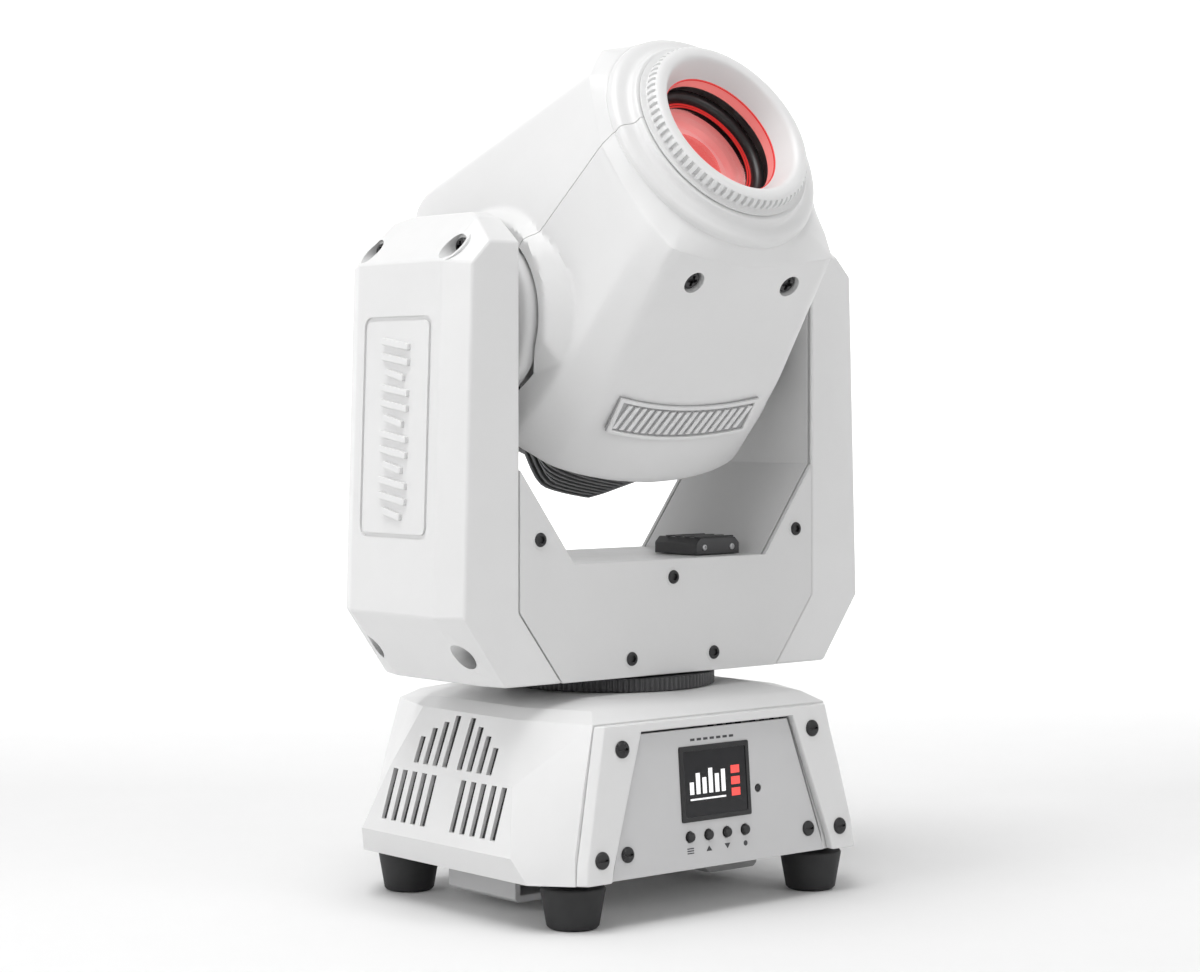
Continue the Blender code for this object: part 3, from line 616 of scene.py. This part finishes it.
def head_shells(mats):
    """The upper and lower shells, cut from one casing, and the two screws of the facet."""
    whole = new_object("head_casing_upper", "head", head_casing())
    cuts = []
    for side in (-1, 1):
        cuts.append(turned([(36.2, side * 52.0), (36.2, side * 67.5), (37.4, side * 71.0)], "x", steps=96))
    carve(whole, "head", cuts + facet_wells())
    lower = bpy.data.objects.new("head_casing_lower", whole.data.copy())
    bpy.context.scene.collection.objects.link(lower)
    split_shell(whole, True)
    split_shell(lower, False)
    carve(lower, "head", [rim_cut()])
    for obj, node in ((whole, "head_shell_upper"), (lower, "head_shell_lower")):
        shade(obj, 38.0)
        finish_piece(obj, "head", mats["white"], (node,))
    piece("facet_screw_wells", "head", merged(well_liners()), mats["white"])
    places = [(on_facet(x, u, -3.4), FACET_NORMAL) for x, u in FACET_SCREWS]
    screws("facet_screws", "head", places, 4.1, 1.7, mats["screw"], "cross", 0.4)


# ---------------------------------------------------------------- generic badge on the facet
PLATE_HALF = 38.5
PLATE_RIM = 1.9
PLATE_TOP = 27.3
PLATE_LOW = 11.9
PLATE_SAG = 4.0
PLATE_STEPS = 40
PLATE_BARS = 17


def badge_edge(x, top):
    """The badge's curved upper or lower edge, as U along the facet."""
    sag = PLATE_SAG * (1 - (x / PLATE_HALF) ** 2)
    return (PLATE_TOP if top else PLATE_LOW) - sag


def strip(points, low, high):
    """A raised strip whose outline runs round the given facet points."""
    return loft([[on_facet(x, u, h) for x, u in points] for h in (low, high)])


def facet_badge(mats):
    """A curved frame round a recessed floor, with slanting bars in place of lettering."""
    inner_half = PLATE_HALF - PLATE_RIM
    outer = []
    inner = []
    for top, sign, trim in ((True, 1, -1.6), (False, -1, 1.6)):
        for k in range(PLATE_STEPS + 1):
            share = sign * (-1 + 2 * k / PLATE_STEPS)
            outer.append((PLATE_HALF * share, badge_edge(PLATE_HALF * share, top)))
            inner.append((inner_half * share, badge_edge(inner_half * share, top) + trim))
    rim = []
    for points, height in ((outer, 0.3), (outer, 1.5), (inner, 1.5), (inner, 0.3)):
        rim.append([on_facet(x, u, height) for x, u in points])
    bars = []
    slant = 1.9
    width = 1.15
    for k in range(PLATE_BARS):
        x = -33.6 + 67.2 * k / (PLATE_BARS - 1)
        top = badge_edge(x, True) - 2.6
        low = badge_edge(x, False) + 2.6
        bars.append(strip([(x - slant - width, low), (x - slant + width, low), (x + slant + width, top),
                           (x + slant - width, top)], 0.3, 1.35))
    piece("facet_badge_floor", "head", strip(outer, -0.6, 0.35), mats["badge_floor"])
    piece("facet_badge_rim", "head", loft(rim, closed=True), mats["white"], bevel=0.35,
          segments=2)
    piece("facet_badge_bars", "head", merged(bars), mats["white"], bevel=0.3, segments=2)


# ---------------------------------------------------------------- lens end
TEETH = 72
TOOTH_STEPS = 10
TOOTH_DEPTH = 1.5
LENS_CENTRE = (0, LENS_V)
GLASS_R = 25.0
CORE_R = 15.0


def focus_ring(mats):
    """The white ring: a knurled outer edge, a rolled lip and a smooth cone down to the lens."""
    steps = TEETH * TOOTH_STEPS
    profile = [(36.4, 92.6, 0), (36.4, 99.8, 0), (41.4, 99.9, 0), (41.4, 100.6, 0), (39.2, 101.0, 0),
               (38.9, 101.6, 0.15), (39.3, 102.0, 1.0), (39.4, 102.4, 1.0), (39.15, 104.6, 1.0),
               (38.7, 105.5, 0.75), (38.1, 106.1, 0.0), (37.3, 106.6, 0), (36.2, 106.95, 0), (35.0, 107.0, 0),
               (33.8, 106.9, 0), (32.9, 106.5, 0), (32.2, 105.8, 0), (31.6, 104.8, 0), (30.4, 102.4, 0),
               (29.2, 100.0, 0), (28.2, 98.1, 0), (27.95, 97.6, 0), (28.3, 97.4, 0), (28.6, 92.6, 0)]
    rings = []
    for radius, u, cut in profile:
        ring = []
        for k in range(steps):
            turn = 2 * math.pi * k / steps
            phase = (k % TOOTH_STEPS) / TOOTH_STEPS
            r = radius if 0.2 <= phase < 0.75 else radius - cut * TOOTH_DEPTH
            ring.append((r * math.cos(turn), LENS_V + r * math.sin(turn), u))
        rings.append(ring)
    piece("focus_ring_knurled", "focus", loft(rings, closed=True), mats["white"],
          ("focus_ring",), angle=42.0)
    # Painted red glow on the ring's inner wall and edge, standing in for light falling on them from inside
    # the lens.
    wall = [(28.55, 97.3), (28.0, 97.3), (28.0, 92.7), (28.55, 92.7)]
    liner = turned(wall, "z", LENS_CENTRE, 96, tube=True)
    piece("focus_ring_lit_wall", "focus", liner, mats["glow_wall"])
    lip = [(28.45, 98.0), (27.75, 97.75), (27.7, 97.1), (28.45, 97.1)]
    edge = turned(lip, "z", LENS_CENTRE, 96, tube=True)
    piece("focus_ring_lit_edge", "focus", edge, mats["glow_deep"])


def dome_profile(radius, start, rise, steps, tip):
    """Radius and depth pairs over a dome, from its edge to a small flat tip."""
    points = []
    for k in range(1, steps + 1):
        turn = k / steps * math.pi / 2
        points.append((max(radius * math.cos(turn), tip), start + rise * math.sin(turn)))
    return points


def lens_parts(mats):
    """The retaining ring, the coated front glass, and the lens seen through it, with painted red glow on its
    rings and surfaces.
    """
    retainer = [(30.0, 83.9), (30.0, 87.2), (29.6, 88.0), (28.6, 88.3), (27.0, 87.9), (25.9, 87.0),
                (25.4, 85.6), (25.2, 84.7), (26.5, 84.2), (27.0, 83.9)]
    piece("lens_retainer_ring", "lens", turned(retainer, "z", LENS_CENTRE, 96, tube=True), mats["black"],
          ("lens_retainer",))
    rings = []
    # Painted red glow on the edges of the lenses inside.
    for (r_out, u_out), (r_in, u_in) in (((25.1, 84.9), (24.4, 85.2)), ((23.9, 84.7), (23.5, 84.9))):
        ring = [(r_out, u_out - 0.6), (r_out, u_out), (r_in, u_in), (r_in, u_in - 0.8)]
        rings.append(turned(ring, "z", LENS_CENTRE, 96, tube=True))
    piece("lens_edge_rings", "lens", merged(rings), mats["glow_deep"])
    dome = [(GLASS_R, 78.0), (GLASS_R, 81.0)] + dome_profile(GLASS_R, 81.0, 4.6, 14, 0.4)
    piece("front_lens_glass", "lens", turned(dome, "z", LENS_CENTRE, 96), mats["glass"],
          ("front_lens",))
    # Painted glow: a pale band and a red core on the inner lens stand in for light seen through it.
    pale = [(24.8, 72.0), (24.8, 76.0), (19.0, 74.5), (15.2, 72.5), (15.2, 72.0)]
    piece("lens_inner_pale", "lens", turned(pale, "z", LENS_CENTRE, 96, tube=True), mats["glow_pale"])
    core = [(CORE_R, 71.0), (CORE_R, 73.2)] + dome_profile(CORE_R, 73.2, 2.6, 7, 0.3)
    piece("lens_inner_core", "lens", turned(core, "z", LENS_CENTRE, 64), mats["glow_core"])


# ---------------------------------------------------------------- head tail
TAIL_END = -55.2
TAIL_CRISP = 22.0
TAIL_TAPER = 0.003
TAIL_WIDTH = 0.76
TAIL_DEPTH = 1.03
TAIL_SHIFT = 2.0
COLLAR_END = -23.4
FIN_INSET = 5.0
FIN_ROOT = 16.0
FIN_GAP = 1.7
FIN_PITCH = 3.6
FAN_LOW = -55.5
FAN_V = 4.0
FAN_SCREW_R = 33.4


def tail_ring(u, inset, steps=160):
    """The tail's outline: the casing's own rear outline, drawn in and tapered."""
    low = [p for p in outline_planes(TAIL_TOP_U, inset) if p[1] < -0.3]
    high = [p for p in outline_planes(max(u, TAIL_LOW_U), inset + 2.0) if p[1] >= -0.3]
    taper = 1.0 - TAIL_TAPER * (TAIL_TOP_U - u)
    planes = [(a, b, d * taper) for a, b, d in low + high]
    turns = np.linspace(0.0, 2 * math.pi, steps, endpoint=False)
    reach = plane_reach(planes, turns, TAIL_CRISP)
    ring = []
    for r, t in zip(reach, turns):
        ring.append((r * math.cos(t) * TAIL_WIDTH, LENS_V + r * math.sin(t) * TAIL_DEPTH - TAIL_SHIFT, u))
    return ring


def head_tail(mats):
    """The cooling fins: a smooth collar, then thin fins down to the fan."""
    rings = [tail_ring(-14.6, 5.6), tail_ring(-15.2, FIN_INSET), tail_ring(-22.8, FIN_INSET)]
    rings.append(tail_ring(COLLAR_END, 5.5))
    u = COLLAR_END
    while u > TAIL_END + 4.0:
        rings += [tail_ring(u, FIN_ROOT), tail_ring(u - FIN_GAP, FIN_ROOT), tail_ring(u - FIN_GAP, 5.4),
                  tail_ring(u - 2.0, FIN_INSET), tail_ring(u - 3.3, FIN_INSET), tail_ring(u - FIN_PITCH, 5.4)]
        u -= FIN_PITCH
    rings += [tail_ring(u, FIN_ROOT), tail_ring(TAIL_END, FIN_ROOT)]
    piece("heat_sink_fins", "head", loft(rings), mats["tail"], ("heat_sink",), angle=50.0)


def fan_guard(mats):
    """Rings and spokes over the fan, and its four screws."""
    shapes = []
    for radius in (9.0, 15.5, 22.0, 28.0):
        wire = []
        for k in range(8):
            turn = 2 * math.pi * k / 8
            wire.append((radius + 0.7 * math.cos(turn), FAN_LOW - 8.2 + 0.7 * math.sin(turn)))
        shapes.append(turned(wire, "z", (0, FAN_V), 72, tube=True))
    places = []
    for k in range(4):
        turn = math.pi / 4 + math.pi / 2 * k
        c = math.cos(turn)
        s = math.sin(turn)
        ends = []
        for reach in (8.8, 33.0):
            ends.append([(reach * c + 0.9 * s * math.cos(a), FAN_V + reach * s - 0.9 * c * math.cos(a),
                          FAN_LOW - 7.4 + 0.7 * math.sin(a)) for a in [math.pi * n / 4 for n in range(8)]])
        shapes.append(loft(ends))
        places.append(((FAN_SCREW_R * c, FAN_V + FAN_SCREW_R * s, FAN_LOW - 9.0), (0, 0, -1)))
    piece("fan_guard_wires", "head", merged(shapes), mats["black"], angle=60.0)
    screws("fan_guard_screws", "head", places, 1.8, 0.7, mats["steel"], "cross")


# ---------------------------------------------------------------- arm covers
TOP_WELL = (27.0, 270.4, 99.5)
FOOT_WELL = (30.0, 107.6, 92.0)
WELL_R = 5.0
PLUG_R = 6.4
ARM_BADGE = (22.8, 154.0, 243.0)


def arm_face(z):
    """The outer face of an arm cover, as X at a height."""
    return 116.1 - (z - 123.3) * 0.0325


def top_slope(z):
    """The sloping face at an arm's top, as X at a height."""
    return 111.5 - (z - 264.9) * 1.045


def foot_slope(z):
    """The sloping face at an arm's foot, as X at a height."""
    return 92.5 + (z - 95.1) * 0.837


def slanted_plug(side, y, z, radius, start, slope, margin):
    """A rod along X that ends just inside a sloping face."""
    near = circle(radius, side * start, "x", (y, z), 32)
    far = [(side * (slope(c) - margin), b, c) for _, b, c in near]
    return loft([near, far])


def badge_groove(side):
    """A shallow groove round the badge on an arm's outer face."""
    half, low, high = ARM_BADGE
    rings = []
    for grow, depth in ((0.0, -1.0), (0.0, 3.0), (-1.8, 3.0), (-1.8, -1.0)):
        outline = fillet(upright(-half - grow, low - grow, half + grow, high + grow), 5.0 + grow)
        rings.append([(side * (arm_face(z) + depth), y, z) for y, z in outline])
    return loft(rings, closed=True)


def badge_bars(side):
    """Raised slanting bars inside the badge."""
    shapes = []
    for k in range(12):
        z = 163.0 + 6.2 * k
        half = 9.0 if k % 3 else 6.0
        bar = fillet([(-half, z - 2.0), (half, z + 0.6), (half, z + 3.4), (-half, z + 0.8)], 0.5, 2)
        rings = []
        for depth in (-0.4, 1.6):
            rings.append([(side * (arm_face(c) + depth), b, c) for b, c in bar])
        shapes.append(loft(rings))
    return shapes


def arm_covers(mats):
    """The two outer covers, with four deep screw wells and a badge of bars on each."""
    for side, name in ((-1, "left"), (1, "right")):
        node = f"arm_cover_{name}"
        obj = copy_node(f"arm_casing_{name}", node, 1.1, 14.0)
        plugs = []
        wells = []
        places = []
        for end in (-1, 1):
            for (y, z, deep), start, slope, margin in ((TOP_WELL, 90.0, top_slope, 1.2),
                                                       (FOOT_WELL, 86.0, foot_slope, 4.0)):
                plugs.append(slanted_plug(side, end * y, z, PLUG_R, start, slope, margin))
                well = [(WELL_R, side * deep), (WELL_R, side * 125.0)]
                wells.append(turned(well, "x", (end * y, z), 40))
                places.append(((side * deep, end * y, z), (side, 0, 0)))
        carve(obj, "yoke", plugs, "UNION")
        carve(obj, "yoke", wells + [badge_groove(side)])
        shade(obj, 34.0)
        finish_piece(obj, "yoke", mats["white"], (node,))
        screws(f"arm_screws_{name}", "yoke", places, 3.6, 2.0, mats["screw"], "cross", 0.3)
        piece(f"arm_badge_bars_{name}", "yoke", merged(badge_bars(side)), mats["white"],
              bevel=0.35, segments=2)


# ---------------------------------------------------------------- yoke details
def yoke_details(mats):
    """Screws and washers of the yoke's plates, and the ribs of the cable guard."""
    places = []
    halos = []
    for end in (-1, 1):
        for x, z in ((-71.5, 153.4), (71.5, 153.4), (-23.0, 102.7), (23.0, 102.7), (0.0, 135.5)):
            centre = (x, end * YOKE_Y, z)
            places.append((centre, (0, end, 0)))
            ring = turned([(3.9, -0.1), (3.8, 0.22), (2.9, 0.3), (2.9, -0.1)], "z", steps=40, tube=True)
            halos.append(tilted(ring, centre, (0, end, 0)))
    screws("yoke_plate_screws", "yoke", places, 2.9, 1.1, mats["screw"], "hex", 0.3)
    piece("yoke_plate_washers", "yoke", merged(halos), mats["plate"], angle=40.0)
    guard = [((x, -31.0, 146.4), (0, -1, 0)) for x in (26.5, 42.5)]
    screws("cable_guard_screws", "yoke", guard, 1.3, 0.5, mats["steel"], "cross", 0.3)
    lines = [box((23.5, -29.0 + 6.0 * k, 150.4), (45.5, -27.4 + 6.0 * k, 151.1)) for k in range(4)]
    piece("cable_guard_ribs", "yoke", merged(lines), mats["guard"], bevel=0.25, segments=2)


def pan_ring_ribs(mats):
    """A finely ribbed band round the fixed pan ring."""
    steps = 480
    rings = []
    for base, z, depth in ((43.2, 88.9, 0.0), (44.3, 88.9, 1.0), (44.3, 94.1, 1.0), (43.2, 94.1, 0.0)):
        ring = []
        for k in range(steps):
            turn = 2 * math.pi * k / steps
            r = base + (0.45 if k % 4 < 2 else -0.3) * depth
            ring.append((r * math.cos(turn), r * math.sin(turn), z))
        rings.append(ring)
    piece("pan_ring_ribs", "base", loft(rings, closed=True), mats["guard"], angle=45.0)


# ---------------------------------------------------------------- base details
BEZEL_LEAN = 0.0784
FRONT_NORMAL = Vector((0.0, -0.997, BEZEL_LEAN))
REAR_NORMAL = Vector((0.0, 0.997, BEZEL_LEAN))
PANEL_INSET = 3.0
PRINTED = (-0.1, 0.06)
LIT = (0.3, 0.48)


def front_y(z):
    """The bezel's leaning face, as the distance before or behind the pan axis."""
    return 73.2 - BEZEL_LEAN * (z - 19.2)


def side_x(z):
    """The leaning side wall, as X at a height."""
    return 94.5 - 0.34 * (z - 29.5)


def on_front(x, z, height):
    """A point on the control panel, raised off it by a height."""
    return (x, -(front_y(z) - PANEL_INSET) - height, z)


def front_print(outline, heights):
    """A thin mark on the control panel, between two heights off it."""
    return loft([[on_front(x, z, h) for x, z in outline] for h in heights])


def base_screws(mats):
    """Screws of the bezels, the panels and the floor plate."""
    places = []
    for side, normal in ((-1, FRONT_NORMAL), (1, REAR_NORMAL)):
        for x, z in ((-53.0, 70.8), (53.0, 70.8), (-66.2, 28.6), (66.2, 28.6)):
            places.append(((x, side * front_y(z), z), normal))
    screws("bezel_screws", "base", places, 3.5, 1.0, mats["screw"], "slot", 0.4)
    places = []
    for side, normal in ((-1, FRONT_NORMAL), (1, REAR_NORMAL)):
        for x in (-50.4, 50.4):
            places.append(((x, side * (front_y(28.8) - PANEL_INSET), 28.8), normal))
    screws("panel_screws", "base", places, 3.2, 1.0, mats["screw"], "slot", 0.4)
    places = [((x, y, 19.8), (0, 0, -1)) for x in (-80.0, 80.0) for y in (-40.0, 0.0, 40.0)]
    screws("floor_plate_screws", "base", places, 2.6, 0.9, mats["steel"], "cross", 0.3)


def panel_print(mats):
    """Generic marks: a row of dashes above the screen, and a small sign under each button."""
    z = 26.6
    outlines = []
    for k in range(7):
        x = -12.6 + 3.6 * k
        outlines.append(upright(x - 1.2, 70.5, x + 1.2, 71.5))
    for k in range(3):
        low = z - 1.2 + 0.95 * k
        outlines.append(upright(-18.4, low, -14.8, low + 0.45))
    outlines.append([(-8.0, z - 1.0), (-4.8, z - 1.0), (-6.4, z + 1.2)])
    outlines.append([(2.2, z + 1.1), (3.8, z - 1.1), (5.4, z + 1.1)])
    turns = [math.pi * n / 12 for n in range(24)]
    outlines.append([(14.0 + 1.1 * math.cos(a), z + 1.1 * math.sin(a)) for a in turns])
    marks = [front_print(outline, PRINTED) for outline in outlines]
    piece("panel_marks", "base", merged(marks), mats["ink"])


def screen_marks(mats):
    """A plain level chart on the screen, and the frame round it."""
    foot = 49.0
    outlines = []
    for k, height in enumerate((5.0, 8.5, 6.5, 10.0, 7.5, 9.0)):
        x = -15.6 + 3.5 * k
        outlines.append(upright(x, foot, x + 2.2, foot + height))
    outlines.append(upright(-15.6, 46.6, 4.1, 47.3))
    bars = [front_print(outline, LIT) for outline in outlines]
    piece("screen_level_bars", "base", merged(bars), mats["lit_white"])
    red = []
    for k in range(3):
        z = 46.6 + 4.6 * k
        red.append(front_print(upright(7.4, z, 12.2, z + 3.2), LIT))
    piece("screen_level_blocks", "base", merged(red), mats["lit_red"])
    outer = fillet(upright(-20.6, 38.1, 18.0, 68.6), 0.8, 3)
    inner = fillet(upright(-18.6, 40.1, 16.0, 66.6), 0.8, 3)
    rings = []
    for ring, height in ((outer, -0.2), (outer, 0.55), (inner, 0.75), (inner, 0.2)):
        rings.append([on_front(x, z, height) for x, z in ring])
    piece("screen_frame", "base", loft(rings, closed=True), mats["black"], bevel=0.12,
          segments=2)


VENT_HALF = 1.65
SHADE_BLOCK_HALF = 2.0
VENT_SLOTS = [(10.0 + 6.65 * k, 35.0, 54.9) for k in range(5)]
VENT_SLOTS += [(5.0, 59.0, 79.0), (11.5, 59.0, 76.0), (18.0, 59.0, 73.0), (24.5, 59.0, 69.0)]


def vent_shape(side, y, low, high, half, deep, out):
    """A slot's shape in the leaning side wall, between two depths."""
    rings = []
    for z in (low, high):
        inner = side * (side_x(z) - deep)
        outer = side * (side_x(z) + out)
        rings.append([(inner, y - half, z), (outer, y - half, z), (outer, y + half, z), (inner, y + half, z)])
    return loft(rings)


def base_casing(mats):
    """The base housing with its side vents opened to their full width, and a black block set in each as
    painted shade.
    """
    obj = copy_node("base_casing", "base_housing", 0.7, 20.0)
    cuts = []
    shade_blocks = []
    for side in (-1, 1):
        for distance, low, high in VENT_SLOTS:
            for y in (-distance, distance):
                cuts.append(vent_shape(side, y, low - 0.3, high + 0.3, VENT_HALF, 5.0, 3.0))
                # Painted shade: a black block just behind each slot stands in for the shaded inside of the
                # base.
                shade_blocks.append(vent_shape(side, y, low - 0.8, high + 0.8, SHADE_BLOCK_HALF, 2.6, -1.3))
    carve(obj, "base", cuts)
    shade(obj, 34.0)
    finish_piece(obj, "base", mats["white"], ("base_housing",))
    piece("vent_painted_shade", "base", merged(shade_blocks), mats["rubber"])


MAINS_X = (-34.0, -2.0)
MAINS_Z = 36.0
MAINS_FRAME = ((12.4, 9.4, 1.0), (15.6, 12.6, -0.2), (15.6, 12.6, 1.2), (12.6, 9.6, 1.9))
DATA_X = (-16.0, 12.0)
DATA_Z = 62.0


def rear_details(mats):
    """Pins, collars, frames and plain marks of the sockets at the back."""
    mains_face = front_y(MAINS_Z) - PANEL_INSET
    data_face = front_y(DATA_Z) - PANEL_INSET
    pins = []
    for x in MAINS_X:
        for dx, dz in ((-5.0, -1.5), (5.0, -1.5), (0.0, 3.0)):
            outline = upright(x + dx - 0.9, MAINS_Z + dz - 2.2, x + dx + 0.9, MAINS_Z + dz + 2.2)
            pins.append(prism(fillet(outline, 0.4, 2), "y", mains_face - 12.8, mains_face - 3.5))
    for x in DATA_X:
        for k in range(3):
            turn = math.pi / 2 + 2 * math.pi * k / 3
            centre = (x + 3.6 * math.cos(turn), DATA_Z + 3.6 * math.sin(turn))
            profile = [(1.1, data_face - 11.8), (1.1, data_face - 5.0), (0.7, data_face - 4.4)]
            pins.append(turned(profile, "y", centre, 16))
    piece("socket_pins", "base", merged(pins), mats["steel"])
    collar = [(9.8, 1.0), (12.0, -0.1), (12.0, 0.9), (11.4, 1.3), (9.9, 1.6)]
    collar = [(radius, data_face + height) for radius, height in collar]
    collars = [turned(collar, "y", (x, DATA_Z), 56, tube=True) for x in DATA_X]
    piece("data_socket_collars", "base", merged(collars), mats["black"], angle=45.0)
    frames = []
    for x in MAINS_X:
        rings = []
        for half_x, half_z, height in MAINS_FRAME:
            outline = upright(x - half_x, MAINS_Z - half_z, x + half_x, MAINS_Z + half_z)
            rings.append([(a, mains_face + height, b) for a, b in fillet(outline, 1.5, 3)])
        frames.append(loft(rings, closed=True))
    piece("mains_socket_frames", "base", merged(frames), mats["black"], angle=40.0)
    slot = prism(upright(28.0, 35.4, 32.0, 36.6), "y", front_y(MAINS_Z) - 1.2, front_y(MAINS_Z) - 0.4)
    piece("fuse_cap_slot", "base", slot, mats["steel"])
    marks = []
    for x, z, wide in ((-34.0, 51.0, 5.0), (-2.0, 51.0, 5.0), (30.0, 45.0, 3.0)):
        y = front_y(z) - PANEL_INSET
        outline = upright(x - wide, z, x + wide, z + 0.7)
        marks.append(loft([[(a, y + height, b) for a, b in outline] for height in PRINTED]))
    piece("rear_panel_marks", "base", merged(marks), mats["ink"])


# ---------------------------------------------------------------- CAD nodes that stay
def dress(nodes, mat, bevel=0.0, angle=35.0):
    """Gives CAD nodes their material, and rounds their edges a little."""
    for name in nodes:
        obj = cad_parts[name]
        obj.data.materials.clear()
        obj.data.materials.append(mat)
        for face in obj.data.polygons:
            face.use_smooth = True
        weld = obj.modifiers.new("weld", "WELD")
        weld.merge_threshold = WELD_DISTANCE
        if bevel:
            soften(obj, bevel, 2, angle)
        obj.modifiers.new("flat", "WEIGHTED_NORMAL")


# ---------------------------------------------------------------- stage
FLOOR_FLAT = 2.4
FLOOR_CURVE = 0.8
FLOOR_DROP = 0.0002
GLOW_TOWARDS = (0.65, 0.76, 0.0)
GLOW_RANGE = {"From Min": 0.3, "From Max": 1.8, "To Min": 0.0, "To Max": 0.62}
AIM = (0, 0, 0.2)


def stage_floor():
    """A pale floor that curves up all round, with painted light: it glows more and more towards its far side.
    """
    profile = [(0.0, 0.0), (0.6, 0.0), (1.2, 0.0), (1.8, 0.0), (FLOOR_FLAT, 0.0)]
    for k in range(1, 9):
        turn = k * math.pi / 16
        rise = FLOOR_CURVE - FLOOR_CURVE * math.cos(turn)
        profile.append((FLOOR_FLAT + FLOOR_CURVE * math.sin(turn), rise))
    profile += [(3.2, 1.6), (3.2, 2.6)]
    steps = 96
    verts = []
    faces = []
    for radius, z in profile:
        for k in range(steps):
            turn = 2 * math.pi * k / steps
            verts.append((radius * math.cos(turn), radius * math.sin(turn), z - FLOOR_DROP))
    for i in range(len(profile) - 1):
        for k in range(steps):
            n = (k + 1) % steps
            faces.append((i * steps + k, i * steps + n, (i + 1) * steps + n, (i + 1) * steps + k))
    mesh = bpy.data.meshes.new("studio_floor")
    mesh.from_pydata(verts, [], faces)
    for face in mesh.polygons:
        face.use_smooth = True
    obj = bpy.data.objects.new("studio_floor", mesh)
    bpy.context.scene.collection.objects.link(obj)
    paper = moulded("floor_paper", (0.78, 0.78, 0.78), 0.9, 300.0, 0.01, 0.004)
    shader = paper.node_tree.nodes["Principled BSDF"]
    # Painted light: emission that grows towards the far side brightens the backdrop there, and stays nil near
    # the object.
    shader.inputs["Emission Color"].default_value = (1.0, 1.0, 1.0, 1.0)
    nodes = paper.node_tree.nodes
    links = paper.node_tree.links
    distance = nodes.new("ShaderNodeVectorMath")
    distance.operation = "DOT_PRODUCT"
    distance.inputs[1].default_value = GLOW_TOWARDS
    links.new(nodes.new("ShaderNodeTexCoord").outputs["Object"], distance.inputs[0])
    spread = nodes.new("ShaderNodeMapRange")
    for name, value in GLOW_RANGE.items():
        spread.inputs[name].default_value = value
    links.new(distance.outputs["Value"], spread.inputs["Value"])
    links.new(spread.outputs["Result"], shader.inputs["Emission Strength"])
    obj.data.materials.append(paper)


def soft_light(name, location, size, power):
    """A square area light that points at the object."""
    data = bpy.data.lights.new(name, "AREA")
    data.shape = "RECTANGLE"
    data.size = data.size_y = size
    data.energy = power
    lamp = bpy.data.objects.new(name, data)
    lamp.location = location
    aim = Vector(AIM) - Vector(location)
    lamp.rotation_euler = aim.to_track_quat("-Z", "Y").to_euler()
    bpy.context.scene.collection.objects.link(lamp)


CAMERA_AT = (-0.7374, -0.8494, 0.2094)
CAMERA_TURN = -40.38
CAMERA_LENS = 79.17
CAMERA_SHIFT = -0.0717


def camera():
    """A level camera that looks at the front and the left side."""
    data = bpy.data.cameras.new("camera")
    data.lens = CAMERA_LENS
    data.sensor_width = 36.0
    data.shift_y = CAMERA_SHIFT
    obj = bpy.data.objects.new("camera", data)
    obj.location = CAMERA_AT
    obj.rotation_euler = (math.radians(90.0), 0.0, math.radians(CAMERA_TURN))
    bpy.context.scene.collection.objects.link(obj)
    bpy.context.scene.camera = obj


def daylight():
    """Even white light from all round."""
    world = bpy.data.worlds.new("studio")
    world.use_nodes = True
    background = world.node_tree.nodes["Background"]
    background.inputs["Color"].default_value = (1.0, 1.0, 1.0, 1.0)
    background.inputs["Strength"].default_value = 0.40
    bpy.context.scene.world = world


# ---------------------------------------------------------------- run
mats = make_materials()
head_shells(mats)
facet_badge(mats)
focus_ring(mats)
lens_parts(mats)
head_tail(mats)
fan_guard(mats)
arm_covers(mats)
yoke_details(mats)
pan_ring_ribs(mats)
base_screws(mats)
panel_print(mats)
screen_marks(mats)
base_casing(mats)
rear_details(mats)

dress(["front_bezel", "rear_bezel"], mats["white"], 0.6)
dress(["trunnion_left", "trunnion_right"], mats["white"])
dress(["yoke_front_plate", "yoke_rear_plate", "yoke_floor", "yoke_saddle", "floor_plate"], mats["plate"], 0.3)
dress(["control_panel", "connector_panel"], mats["panel"], 0.2)
dress(["bracket_rail_left", "bracket_rail_right"], mats["bracket"], 0.5)
dress(["display", "status_lamp"], mats["screen"], 0.2)
dress(["cable_guard"], mats["guard"], 0.5)
dress(["mains_inlet", "mains_outlet", "fuse_cap", "fan_ring", "fan_rotor", "pan_ring", "tilt_drum"],
      mats["black"])
dress([f"menu_button_{k}" for k in range(1, 5)] + ["lens_tube"], mats["black"])
dress(["foot_front_left", "foot_front_right", "foot_rear_left", "foot_rear_right", "tilt_belt"],
      mats["rubber"])
dress(["data_in", "data_out", "power_supply", "pan_bearing", "pan_motor", "tilt_motor", "tilt_bearing_left",
       "tilt_bearing_right", "pan_pinion", "tilt_motor_pulley", "chassis_plate", "gobo_wheel"], mats["steel"])
dress(["main_board", "driver_board"], mats["board"])
dress(["led_module"], mats["tail"])
dress(["condenser_lens"], mats["glass"])
dress(["colour_wheel"], mats["filter"])

camera()
stage_floor()
soft_light("top", (-0.7, -0.2, 2.2), 1.4, 33.0)
soft_light("left", (-2.3, 0.1, 0.9), 1.0, 13.0)
soft_light("front", (0.7, -2.2, 1.1), 1.0, 7.0)
daylight()
bpy.context.scene.view_settings.view_transform = "Standard"
